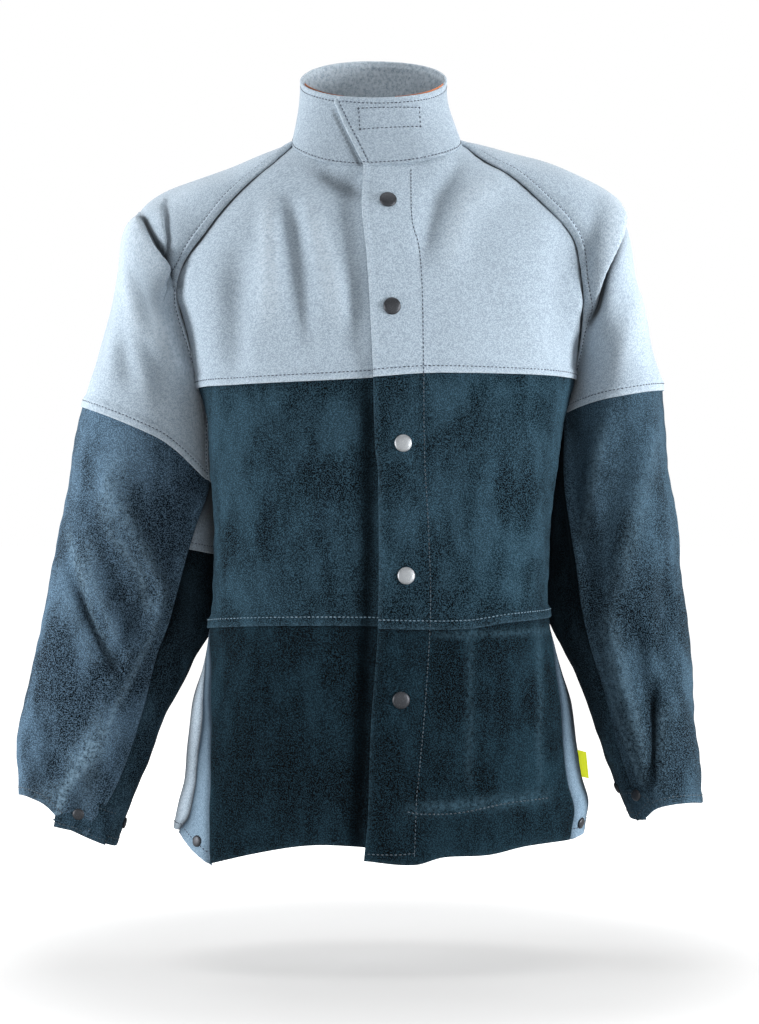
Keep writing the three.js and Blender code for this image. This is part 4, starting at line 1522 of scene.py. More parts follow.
@dataclass(frozen=True, kw_only=True)
class CottonFinish(ClothFinish):
    """Matte twill with a slubby tone, rubbed paler along sewn edges, with painted highlights on ridges and
    painted shade in folds.
    """

    dark: Colour
    light: Colour
    depth: float = 0.95
    rub: float = 0.8
    sheen: float = 0.12
    roughness: float = 0.88
    gloss: float = 0.2
    pitch: float = 0.00095
    bump: float = 0.00004
    # Painted light: emission in the cloth's own colour, though it is no lamp.
    glow: float = 0.0

    def build(self, effects: Effects) -> bpy.types.Material:
        """Make the material.

        Args:
            effects: shared shader groups.

        Returns:
            The material.
        """
        material, graph, shader = new_material(self.name)
        cloth = graph.add("ShaderNodeUVMap", uv_map="Cloth").outputs[0]
        weave = graph.add("ShaderNodeGroup", {"Vector": cloth, "Pitch": self.pitch}, node_tree=effects.twill)
        woven = graph.math("MULTIPLY", weave.outputs["Tone"], 0.85)
        broad = graph.math("MULTIPLY", graph.noise(graph.place(), 9.0, 3.0), 0.15)
        tone = graph.ramp(graph.math("ADD", woven, broad), -0.2, 0.9)
        colour = self.age(graph, effects, graph.mix(tone, self.dark, self.light))
        relief = {"Strength": 0.6, "Distance": self.bump, "Height": weave.outputs["Height"]}
        self.surface(graph, shader, colour, graph.add("ShaderNodeBump", relief).outputs[0])
        # Painted light: emission in the cloth's own colour, set by its glow.
        graph.fill(shader, {"Emission Color": colour, "Emission Strength": self.glow, "Sheen Roughness": 0.5})
        return material


@dataclass(frozen=True, kw_only=True)
class SuedeFinish(ClothFinish):
    """Split suede: dark nap with paler mottles, grain and rubbed edges."""

    pale: Colour
    depth: float = 0.85
    rub: float = 0.8
    sheen: float = 0.03
    roughness: float = 0.95
    gloss: float = 0.06
    blotch: float = 11.0
    grain: float = 900.0
    bump: float = 0.0006
    sheen_tint: Colour = (0.42, 0.68, 0.9, 1.0)

    def build(self, effects: Effects) -> bpy.types.Material:
        """Make the material.

        Args:
            effects: shared shader groups.

        Returns:
            The material.
        """
        material, graph, shader = new_material(self.name)
        brushed = {"Vector": graph.place(), "Blotch": self.blotch, "Grain": self.grain}
        nap = graph.add("ShaderNodeGroup", brushed, node_tree=effects.nap)
        cloudy = graph.math("MULTIPLY", nap.outputs["Mottle"], 0.38)
        grainy = graph.math("ADD", cloudy, graph.math("MULTIPLY", nap.outputs["Grain"], 0.62))
        colour = self.age(graph, effects, graph.mix(grainy, self.deep, self.pale))
        relief = {"Strength": 0.7, "Distance": self.bump, "Height": nap.outputs["Height"]}
        self.surface(graph, shader, colour, graph.add("ShaderNodeBump", relief).outputs[0])
        graph.fill(shader, {"Sheen Roughness": 0.45, "Sheen Tint": self.sheen_tint})
        return material


@dataclass(frozen=True)
class MetalFinish:
    """Blackened or plain metal of the snap caps, a little scuffed."""

    name: str
    colour: Colour
    scuffed: Colour
    roughness: float

    def build(self) -> bpy.types.Material:
        """Make the material.

        Returns:
            The material.
        """
        material, graph, shader = new_material(self.name)
        scuff = graph.ramp(graph.noise(graph.place(), 900.0, 4.0, 0.7), 0.5, 0.75)
        rough = graph.add("ShaderNodeMapRange", {0: scuff, 3: self.roughness, 4: self.roughness + 0.2})
        colour = graph.mix(scuff, self.colour, self.scuffed)
        graph.fill(shader, {"Base Color": colour, "Roughness": rough.outputs[0], "Metallic": 0.9})
        return material


@dataclass(frozen=True)
class ThreadFinish:
    """Sewing thread with a slight change of tone from stitch to stitch."""

    name: str
    dark: Colour
    light: Colour

    def build(self) -> bpy.types.Material:
        """Make the material.

        Returns:
            The material.
        """
        material, graph, shader = new_material(self.name)
        tone = graph.ramp(graph.noise(graph.place(), 300.0, 3.0), 0.35, 0.65)
        colour = graph.mix(tone, self.dark, self.light)
        graph.fill(shader, {"Base Color": colour, "Roughness": 0.7, "Sheen Weight": 0.2})
        return material


class Thread(Enum):
    """Thread of a row of stitches: navy on cotton, pale or dim on suede."""

    NAVY = "navy"
    PALE = "pale"
    DIM = "dim"


class Wardrobe:
    """All finishes of the jacket, built once."""

    def __init__(self) -> None:
        """Build the finishes."""
        effects = Effects()
        self.cotton = CottonFinish(
            "blue_grey_twill",
            worn=srgb(196, 207, 216),
            deep=srgb(10, 16, 22),
            dark=srgb(108, 123, 136),
            light=srgb(170, 185, 198),
        ).build(effects)
        # Painted shade: a bluer copy of the twill for the side panels, which lie in shade.
        self.side_cotton = CottonFinish(
            "shaded_twill",
            worn=srgb(188, 206, 222),
            deep=srgb(8, 22, 34),
            dark=srgb(114, 141, 162),
            light=srgb(178, 207, 231),
            sheen=0.02,
            gloss=0.08,
        ).build(effects)
        self.trim = CottonFinish(
            "rust_edging",
            worn=srgb(172, 112, 78),
            deep=srgb(80, 46, 30),
            dark=srgb(128, 72, 44),
            light=srgb(164, 100, 64),
            pitch=0.0008,
        ).build(effects)
        self.label = CottonFinish(
            "lime_tape",
            worn=srgb(244, 250, 120),
            deep=srgb(140, 150, 20),
            dark=srgb(228, 242, 30),
            light=srgb(242, 250, 70),
            pitch=0.0006,
            # Painted light: the tape glows a little.
            glow=0.3,
        ).build(effects)
        hides = {
            # Name, darkest nap colour that also paints shade, pale nap and rubbed colour for each group of
            # suede pieces; the right top sleeve's copy is paler, painted light.
            "front_leather_upper": ("navy_suede", (0, 3, 5), (50, 76, 91), (84, 112, 130)),
            "front_leather_lower": ("deep_navy_suede", (0, 1, 2), (30, 53, 65), (68, 96, 112)),
            "sleeve_leather_under": ("shaded_navy_suede", (0, 2, 4), (66, 92, 108), (80, 106, 122)),
            "cuff_tab": ("tab_navy_suede", (1, 5, 8), (66, 92, 110), (96, 124, 142)),
            "sleeve_leather_top_left": ("brushed_navy_suede", (1, 4, 7), (66, 90, 107), (104, 132, 150)),
            "sleeve_leather_top_right": ("pale_navy_suede", (1, 4, 7), (90, 116, 138), (124, 152, 172)),
        }
        self.suede = {
            node: SuedeFinish(name, worn=srgb(*worn), deep=srgb(*deep), pale=srgb(*pale)).build(effects)
            for node, (name, deep, pale, worn) in hides.items()
        }
        threads = {
            Thread.NAVY: ThreadFinish("navy_thread", srgb(22, 34, 50), srgb(46, 60, 80)),
            Thread.PALE: ThreadFinish("pale_thread", srgb(62, 88, 104), srgb(96, 124, 142)),
            Thread.DIM: ThreadFinish("dim_thread", srgb(20, 34, 44), srgb(44, 66, 80)),
        }
        self.thread = {thread: finish.build() for thread, finish in threads.items()}
        self.dark_metal = MetalFinish("gunmetal", srgb(60, 62, 66), srgb(92, 94, 98), 0.5).build()
        self.bright_metal = MetalFinish("pale_nickel", srgb(150, 154, 158), srgb(190, 194, 196), 0.55).build()

    def of(self, panel: Panel) -> bpy.types.Material:
        """Finish of one panel; the suede pieces come in several shades, the right top sleeve in a paler copy
        that paints the light it catches, and the side panels take a shaded copy of the twill.

        Args:
            panel: the panel.

        Returns:
            Its material.
        """
        if panel.cloth is Cloth.COTTON:
            # The side panels take the shaded copy of the twill.
            return self.side_cotton if panel.node.startswith("side_panel") else self.cotton
        return next(finish for name, finish in self.suede.items() if panel.node.startswith(name))


def bake(
    carrier: bpy.types.Object, tree: bpy.types.NodeTree, values: dict[str, object], name: str,
) -> bpy.types.Object:
    """Run a geometry tree on a carrier and keep its result as a plain mesh object.

    Args:
        carrier: object that holds the path or points; it is removed afterwards.
        tree: geometry tree.
        values: values of the tree's named inputs.
        name: name of the new object.

    Returns:
        The mesh object at the origin.
    """
    modifier = carrier.modifiers.new("grow", "NODES")
    modifier.node_group = tree
    for item in tree.interface.items_tree:
        if item.in_out == "INPUT" and item.name in values:
            modifier[item.identifier] = values[item.name]
    graph = bpy.context.evaluated_depsgraph_get()
    mesh = bpy.data.meshes.new_from_object(carrier.evaluated_get(graph), depsgraph=graph)
    carrier.modifiers.remove(modifier)
    bpy.data.objects.remove(carrier)
    mesh.name = name
    return place_object(name, mesh)


@dataclass
class Stitching:
    """All rows of stitches, gathered by thread and grown along their paths."""

    pitch: float = 0.0043
    length: float = 0.0030
    thread: float = 0.0012
    stand: float = 0.12
    seed: int = 7
    segments: int = 6
    rings: int = 4
    rows: dict[Thread, list[Seam]] = field(default_factory=lambda: {thread: [] for thread in Thread})

    def add(self, thread: Thread, *rows: Seam) -> None:
        """Keep rows sewn with a thread."""
        self.rows[thread].extend(row for row in rows if len(row.points) > 1)

    def tree(self, material: bpy.types.Material) -> bpy.types.NodeTree:
        """Geometry tree that lays a stitch at each pitch along every path.

        Args:
            material: finish of the thread.

        Returns:
            The tree.
        """
        tree = bpy.data.node_groups.new("stitch_row", "GeometryNodeTree")
        tree.interface.new_socket("Geometry", in_out="INPUT", socket_type="NodeSocketGeometry")
        for name in ("Pitch", "Length", "Thread"):
            tree.interface.new_socket(name, in_out="INPUT", socket_type="NodeSocketFloat")
        tree.interface.new_socket("Seed", in_out="INPUT", socket_type="NodeSocketInt")
        tree.interface.new_socket("Geometry", in_out="OUTPUT", socket_type="NodeSocketGeometry")
        graph = Graph(tree)
        given = graph.add("NodeGroupInput").outputs
        path = {"Curve": given["Geometry"], "Length": given["Pitch"]}
        places = graph.add("GeometryNodeCurveToPoints", path, mode="LENGTH")
        round_ball = {"Segments": self.segments, "Rings": self.rings, "Radius": 0.5}
        ball = graph.add("GeometryNodeMeshUVSphere", round_ball)
        size = {0: given["Thread"], 1: given["Thread"], 2: given["Length"]}
        shape = graph.add("ShaderNodeCombineXYZ", size)
        stitch = graph.add("GeometryNodeTransform", {"Geometry": ball.outputs[0], "Scale": shape.outputs[0]})
        smooth = graph.add("GeometryNodeSetShadeSmooth", {"Geometry": stitch.outputs[0]})
        turn = graph.add("FunctionNodeAlignRotationToVector", {"Vector": places.outputs["Tangent"]}, axis="Z")
        sizes = graph.add("FunctionNodeRandomValue", {
            "Min": (0.9, 0.9, 0.88), "Max": (1.1, 1.1, 1.06), "Seed": given["Seed"],
        }, data_type="FLOAT_VECTOR")
        laid = graph.add("GeometryNodeInstanceOnPoints", {
            "Points": places.outputs["Points"],
            "Instance": smooth.outputs[0],
            "Rotation": turn.outputs[0],
            "Scale": sizes.outputs[0],
        })
        real = graph.add("GeometryNodeRealizeInstances", {0: laid.outputs[0]})
        dressed = graph.add("GeometryNodeSetMaterial", {"Geometry": real.outputs[0], "Material": material})
        graph.add("NodeGroupOutput", {0: dressed.outputs[0]})
        return tree

    def build(self, wardrobe: Wardrobe) -> list[bpy.types.Object]:
        """Grow the stitches of each thread as one piece.

        Args:
            wardrobe: all finishes.

        Returns:
            The pieces.
        """
        made = []
        for thread, rows in self.rows.items():
            path = bpy.data.curves.new(f"{thread.value}_rows", "CURVE")
            path.dimensions = "3D"
            for row in rows:
                points = (row.points + row.normals * self.stand) * MM
                spline = path.splines.new("POLY")
                spline.points.add(len(points) - 1)
                places = np.pad(points, ((0, 0), (0, 1)), constant_values=1.0)
                spline.points.foreach_set("co", places.ravel())
            carrier = place_object(f"{thread.value}_rows", path)
            values = {"Pitch": self.pitch, "Length": self.length, "Thread": self.thread, "Seed": self.seed}
            piece = bake(carrier, self.tree(wardrobe.thread[thread]), values, f"stitches_{thread.value}")
            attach(piece, BODY)
            made.append(piece)
        return made


PLACKET = Table("height x", [
    (-760, -11), (-735, -9.8), (-699, -6.3), (-600, -2.7), (-498, 4.3), (-348, 4.3), (-321, 1.3),
    (-232, -1.2), (-130, -7), (-81, -12), (-33, -10.6),
])
LAP_LIFT = 6.0
LAP_FADE = 74.0
LAP_NECK_DROP = (33.0, 85.0)
LAP_NECK_SHARE = 0.5


def lap_lift(points: Array) -> Array:
    """Lift of the left front over the right front, strongest at the front edge.

    Args:
        points: points of the left front.

    Returns:
        The lift there.
    """
    inside = points[..., 0] - PLACKET.read(points[..., 2], "x")
    below = smoothstep(-points[..., 2], *LAP_NECK_DROP)
    return LAP_LIFT * lerp(LAP_NECK_SHARE, 1.0, below) * (1.0 - smoothstep(inside, 0.0, LAP_FADE))


def placket_angle(shift: float) -> Course:
    """Angle of a line beside the front edge of the left front, as a function of height.

    Args:
        shift: how far it lies from the edge.

    Returns:
        The angle by height.
    """

    def angle_at(height: Array) -> Array:
        """Angle at a height."""
        return TRUNK.front_angle(PLACKET.read(height, "x") + shift, height)

    return angle_at


@dataclass
class Fronts:
    """Both fronts: a cotton yoke and two tiers of suede on each side, the left lapped over the right."""

    lap_width: float = 28.0
    yoke_steps: tuple[int, int] = (96, 100)
    tier_steps: tuple[int, int] = (84, 84)
    yoke_seam: dict[Side, Table] = field(default_factory=lambda: {
        Side.RIGHT: Table("share height", [(0, -251), (0.4, -251), (1, -245)]),
        Side.LEFT: Table("share height", [(0, -246), (0.3, -241), (1, -242)]),
    })
    tier_seam: dict[Side, Table] = field(default_factory=lambda: {
        Side.RIGHT: Table("share height", [(0, -502), (0.4, -496), (1, -496)]),
        Side.LEFT: Table("share height", [(0, -498), (0.45, -499), (0.65, -493), (1, -490)]),
    })
    hem: dict[Side, Table] = field(default_factory=lambda: {
        Side.RIGHT: Table("share height", [(0, -746), (0.2, -733), (0.42, -724), (0.6, -722), (1, -727)]),
        Side.LEFT: Table("share height", [
            (0, -737), (0.3, -742), (0.45, -735), (0.65, -733), (0.8, -726), (1, -724),
        ]),
    })
    placket_row: Line = field(default_factory=lambda: [
        (38, -36), (39, -90), (46, -119), (49, -164), (50, -234), (51, -329), (55, -405), (57, -482),
        (52, -575), (45, -656), (43, -674), (41, -732),
    ])
    pocket_row: Line = field(default_factory=lambda: [
        (35, -688), (44, -690), (83, -690), (136, -681), (176, -678),
    ])
    hem_row: Line = field(default_factory=lambda: [(-5, -730), (20, -731), (40, -730)])
    placket_pitch: float = 4.0
    placket_clear: float = 2.0
    panels: dict[str, Panel] = field(default_factory=dict)

    def span(self, side: Side) -> tuple[Course, Course]:
        """Angles of the two long edges of one front.

        Args:
            side: side of the wearer.

        Returns:
            The angles of the first and the last column, by height.
        """
        if side is Side.RIGHT:
            return edge_angle(side, "front"), placket_angle(self.lap_width)
        return placket_angle(0.0), edge_angle(side, "front")

    def neck_top(self, side: Side) -> Course:
        """Upper edge of one yoke.

        Args:
            side: side of the wearer.

        Returns:
            The height by share.
        """
        start, end = self.span(side)
        corner = float(SLEEVES[side].shoulder.column("front")[0])
        centre = float(TRUNK.neckline.column("height")[0])
        heights = (corner, centre) if side is Side.RIGHT else (centre, corner)
        return neck_edge(start(heights[0]), end(heights[1]))

    def cut(self) -> None:
        """Cut all panels of both fronts."""
        for side in Side:
            rows = (self.yoke_seam, self.tier_seam, self.hem)
            yoke, tier, hem = (table[side].course("height") for table in rows)
            neck = self.neck_top(side)
            tiers = [
                ("front_yoke", Cloth.COTTON, self.yoke_steps, yoke, neck, COTTON_LAP, NECK_TUCK),
                ("front_leather_upper", Cloth.SUEDE, self.tier_steps, tier, yoke, SUEDE_LAP, CUT),
                ("front_leather_lower", Cloth.SUEDE, self.tier_steps, hem, tier, SUEDE_HEM, CUT),
            ]
            for name, cloth, steps, bottom, top, low, high in tiers:
                start, end = self.span(side)
                outside = TUCK if cloth is Cloth.COTTON else SUEDE_SIDE
                placed = (outside, CUT) if side is Side.RIGHT else (FRONT_LAP, outside)
                grid = body_grid(steps, start, end, bottom, top, low.over)
                node = f"{name}_{side.word}"
                self.panels[node] = Panel(
                    node=node,
                    cloth=cloth,
                    base=grid,
                    sign=1,
                    edges={Edge.START: placed[0], Edge.END: placed[1], Edge.FIRST: low, Edge.LAST: high},
                    lift=lap_lift if side is Side.LEFT else None,
                )

    def sew(self, stitching: Stitching) -> None:
        """Sew the edges, the placket and the inside pocket.

        Args:
            stitching: takes the rows.
        """
        for panel in self.panels.values():
            stitching.add(Thread.NAVY if panel.cloth is Cloth.COTTON else Thread.PALE, *panel.sewn_rows())
        for name in ("front_yoke_left", "front_leather_upper_left", "front_leather_lower_left"):
            panel = self.panels[name]
            low, high = panel.base[..., 2].min() + self.placket_clear, panel.base[..., 2].max()
            row = even_points(self.placket_row, self.placket_pitch)
            part = [(x, z) for x, z in row if low < z < high]
            stitching.add(Thread.NAVY if panel.cloth is Cloth.COTTON else Thread.DIM, panel.row_over(part))
        lower = self.panels["front_leather_lower_left"]
        stitching.add(Thread.DIM, lower.row_over(self.pocket_row), lower.row_over(self.hem_row))


def body_grid(
    steps: tuple[int, int],
    start: Course,
    end: Course,
    bottom: Course,
    top: Course,
    over: float = 0.0,
) -> Array:
    """Grid of the trunk between two angles and two heights, each edge keeping its own curve.

    Args:
        steps: numbers of columns and rows.
        start: angle of the first column by height.
        end: angle of the last column by height.
        bottom: height of the lower edge by share.
        top: height of the upper edge by share.
        over: how far the lower edge hangs past its seam.

    Returns:
        Points by row and column.
    """

    def point_at(across: Array, up: Array) -> Array:
        """Points of the panel.

        Args:
            across: shares across.
            up: shares up.

        Returns:
            The points.
        """
        low = bottom(across) - over
        height = lerp(low, top(across), up)
        first = start(lerp(bottom(np.zeros(1)) - over, top(np.zeros(1)), up))
        second = end(lerp(bottom(np.ones(1)) - over, top(np.ones(1)), up))
        return TRUNK.point(lerp(first, second, across), height)

    return make_grid(steps, point_at)


def even_shade(amount: float) -> Shade:
    """Painted shade that is the same all over a panel.

    Args:
        amount: the shade.

    Returns:
        The shade by point.
    """

    def shade_at(points: Array) -> Array:
        """Shade at points."""
        return np.full(points.shape[:-1], amount)

    return shade_at


def height_shade(low: float, at_low: float, high: float, at_high: float) -> Shade:
    """Painted shade that changes from one height to another.

    Args:
        low: lower height.
        at_low: shade there and below.
        high: upper height.
        at_high: shade there and above.

    Returns:
        The shade by point.
    """

    def shade_at(points: Array) -> Array:
        """Shade at points."""
        return lerp(at_low, at_high, smoothstep(points[..., 2], low, high))

    return shade_at


@dataclass
class SidesAndBack:
    """Cotton side panels and the cotton back."""

    # Painted shade of the side panels: darker towards the top, where they lie in shade under the arms.
    side_shade: Shade = field(default_factory=lambda: height_shade(-715.0, 0.5, -575.0, 0.8))
    side_steps: tuple[int, int] = (24, 190)
    back_steps: tuple[int, int] = (84, 170)
    side_hem: dict[Side, Table] = field(default_factory=lambda: {
        Side.RIGHT: Table("share height", [(0, -717), (1, -746)]),
        Side.LEFT: Table("share height", [(0, -724), (1, -718)]),
    })
    back_hem: Table = field(default_factory=lambda: Table("share height", [
        (0, -718), (0.2, -724), (0.5, -728), (0.8, -722), (1, -717),
    ]))
    panels: dict[str, Panel] = field(default_factory=dict)

    def cut(self) -> None:
        """Cut the two sides and the back."""
        for side in Side:
            underarm = float(SLEEVES[side].shoulder.column("front")[-1])
            front, back = edge_angle(side, "front"), edge_angle(side, "back")
            start, end = (front, back) if side is Side.LEFT else (back, front)
            hem = self.side_hem[side].course("height")
            grid = body_grid(self.side_steps, start, end, hem, level(underarm))
            front_edge, back_edge = (Edge.START, Edge.END) if side is Side.LEFT else (Edge.END, Edge.START)
            edges = {Edge.FIRST: COTTON_HEM, front_edge: SIDE_TUCK, back_edge: SIDE_SEAM}
            self._keep(f"side_panel_{side.word}", grid, edges)
        corners = [SLEEVES[side].shoulder.column("back")[0] for side in Side]
        right, left = (float(EDGES[side].read(at, "back")) for side, at in zip(Side, corners))
        grid = body_grid(
            self.back_steps,
            edge_angle(Side.LEFT, "back"),
            edge_angle(Side.RIGHT, "back", FULL_TURN),
            self.back_hem.course("height"),
            neck_edge(left, FULL_TURN - right),
        )
        edges = {Edge.FIRST: COTTON_HEM, Edge.LAST: NECK_TUCK, Edge.START: BACK_TUCK, Edge.END: BACK_TUCK}
        self._keep("back_panel", grid, edges)

    def _keep(self, node: str, grid: Array, edges: dict[Edge, EdgeFinish]) -> None:
        """Keep one panel.

        Args:
            node: name of its CAD node.
            grid: its points.
            edges: finishes of its edges.
        """
        folded = node != "back_panel"
        shade = self.side_shade if folded else None
        self.panels[node] = Panel(
            node=node, cloth=Cloth.COTTON, base=grid, sign=1, edges=edges, folded=folded, shade=shade,
        )

    def sew(self, stitching: Stitching) -> None:
        """Sew the hems."""
        for panel in self.panels.values():
            stitching.add(Thread.NAVY, *panel.sewn_rows())


@dataclass(frozen=True)
class TabCut:
    """Cuff tab: angles round the sleeve, length, reach past the hem, turn and rise of its free end."""

    start: float
    stop: float
    length: float
    past: float
    turn: float
    rise: float


@dataclass
class Sleeves:
    """Both sleeves: cotton raglan top and underarm, suede below, and an overlapping tab at the cuff."""

    underarm: float = 1.003
    raglan_passes: int = 14
    raglan_steps: tuple[int, int] = (190, 190)
    top_steps: tuple[int, int] = (100, 130)
    under_steps: tuple[int, int] = (44, 110)
    arm_steps: tuple[int, int] = (40, 44)
    tab_steps: tuple[int, int] = (40, 28)
    top_span: tuple[float, float] = (-150.0, 150.0)
    under_span: tuple[float, float] = (122.0, 210.0)
    tab_stand: float = 1.8
    tab_sink: float = -2.2
    # Painted shade: even over the cuff tabs, darker towards the armpit on the under sleeves.
    shades: dict[str, Shade] = field(default_factory=lambda: {
        "cuff_tab": even_shade(0.15),
        "under_sleeve": height_shade(-415.0, 0.3, -375.0, 0.85),
        "sleeve_leather_under": height_shade(-610.0, 0.0, -480.0, 0.8),
    })
    tab_tuck: dict[Side, tuple[float, float]] = field(default_factory=lambda: {
        Side.RIGHT: (0.3, 0.48), Side.LEFT: (2.0, 3.0),
    })
    tab_rise: tuple[float, float] = (0.3, 0.75)
    round_to: float = 0.99
    round_length: float = 0.3
    tabs: dict[Side, TabCut] = field(default_factory=lambda: {
        Side.RIGHT: TabCut(-146.0, -80.0, 36.0, 1.5, 0.7, -5.0),
        Side.LEFT: TabCut(-150.0, -116.0, 34.0, 0.5, 0.1, 16.0),
    })
    panels: dict[str, Panel] = field(default_factory=dict)

    def top_grid(
        self, form: SleeveForm, steps: tuple[int, int], start: Course, stop: Course, over: float = 0.0,
    ) -> Array:
        """Grid of the top sleeve between two stations.

        Args:
            form: form of the sleeve.
            steps: numbers of columns and rows.
            start: upper station by angle.
            stop: lower station by angle.
            over: how far the lower edge hangs past its seam, in stations.

        Returns:
            Points by row and column.
        """

        def point_at(across: Array, down: Array) -> Array:
            """Points of the sleeve.

            Args:
                across: shares across.
                down: shares down.

            Returns:
                The points.
            """
            rough = lerp(*self.top_span, across)
            section = form.section(lerp(start(rough), stop(rough) + over, down))
            return section.at(lerp(section.front, section.back, across))

        return make_grid(steps, point_at)

    def under_grid(self, form: SleeveForm, steps: tuple[int, int], start: float, stop: Course) -> Array:
        """Grid of the under sleeve between two stations.

        Args:
            form: form of the sleeve.
            steps: numbers of columns and rows.
            start: upper station.
            stop: lower station by angle.

        Returns:
            Points by row and column.
        """

        def point_at(across: Array, down: Array) -> Array:
            """Points at shares across and down the sleeve."""
            section = form.section(lerp(start, stop(lerp(*self.under_span, across)), down))
            return section.at(lerp(section.back, section.front + FULL_TURN, across))

        return make_grid(steps, point_at)

    def tab_grid(self, form: SleeveForm) -> Array:
        """Grid of the cuff tab, rounded at its free end.

        Args:
            form: form of the sleeve.

        Returns:
            Points by row and column.
        """
        tab = self.tabs[form.side]

        def point_at(across: Array, down: Array) -> Array:
            """Points of the tab.

            Args:
                across: shares across.
                down: shares down.

            Returns:
                The points.
            """
            turn = np.clip((across - tab.turn) / (1.0 - tab.turn), 0.0, 1.0)
            rounded = 1.0 - np.sqrt(1.0 - turn**2)
            upper = form.length - tab.length * (1.0 - self.round_length * rounded)
            lower = form.length + tab.past - tab.rise * turn
            along = lerp(upper, lower, down)
            angle = lerp(tab.start, tab.stop, np.minimum(across, self.round_to))
            on_sleeve = form.section(form.station(along)).at(angle)
            return on_sleeve + form.cuff_way * np.maximum(along - form.length, 0.0)[..., None]

        return make_grid(self.tab_steps, point_at)

    def cut(self) -> None:
        """Cut all panels of both sleeves."""
        for side in Side:
            form = SLEEVES[side]
            lap = COTTON_LAP.over / form.station_length
            under = float(form.station(form.under_tier))
            tier, cuff = form.tier_station, form.cuff_station
            raglan = self.top_grid(form, self.raglan_steps, level(0.0), tier, lap)
            raglan = soften(raglan, self.raglan_passes)
            seams = {
                Edge.START: RAGLAN_LAP, Edge.END: RAGLAN_LAP, Edge.FIRST: NECK_TUCK, Edge.LAST: COTTON_LAP,
            }
            self._keep("raglan_sleeve", side, Cloth.COTTON, raglan, seams)
            top = self.top_grid(form, self.top_steps, tier, cuff)
            seams = {Edge.START: SUEDE_OVER, Edge.END: SUEDE_SIDE, Edge.LAST: CUFF_HEM}
            self._keep("sleeve_leather_top", side, Cloth.SUEDE, top, seams)
            arm = self.under_grid(form, self.arm_steps, self.underarm, level(under + lap))
            seams = {Edge.START: DITCH, Edge.END: DITCH, Edge.LAST: COTTON_LAP}
            self._keep("under_sleeve", side, Cloth.COTTON, arm, seams)
            below = self.under_grid(form, self.under_steps, under, cuff)
            seams = {Edge.START: SUEDE_SIDE, Edge.END: SUEDE_UNDER, Edge.LAST: CUFF_HEM}
            self._keep("sleeve_leather_under", side, Cloth.SUEDE, below, seams)
            seams = {Edge.FIRST: TAB_EDGE, Edge.LAST: TAB_EDGE, Edge.END: SUEDE_HEM}
            self._keep("cuff_tab", side, Cloth.SUEDE, self.tab_grid(form), seams, fixed(self.tab_lift(side)))

    def tab_lift(self, side: Side) -> Array:
        """Lift of one cuff tab off its sleeve, sunk into the cloth where it is tucked in.

        Args:
            side: side of the wearer.

        Returns:
            The lift by row and column.
        """
        across, down = np.meshgrid(spaced(self.tab_steps[0]), spaced(self.tab_steps[1]))
        tucked = smoothstep(across, *self.tab_tuck[side]) * (1.0 - smoothstep(down, *self.tab_rise))
        return lerp(self.tab_stand, self.tab_sink, tucked)

    def _keep(
        self,
        name: str,
        side: Side,
        cloth: Cloth,
        grid: Array,
        edges: dict[Edge, EdgeFinish],
        lift: Course | None = None,
    ) -> None:
        """Keep one panel.

        Args:
            name: name without its side.
            side: side of the wearer.
            cloth: what it is cut from.
            grid: its points.
            edges: finishes of its edges.
            lift: how far its points stand off the sleeve form.
        """
        node = f"{name}_{side.word}"
        shade = self.shades.get(name)
        self.panels[node] = Panel(
            node=node, cloth=cloth, base=grid, sign=-side.value, edges=edges, lift=lift, shade=shade,
        )

    def sew(self, stitching: Stitching) -> None:
        """Sew the raglan seams, the laps and the cuffs."""
        for panel in self.panels.values():
            stitching.add(Thread.NAVY if panel.cloth is Cloth.COTTON else Thread.DIM, *panel.sewn_rows())


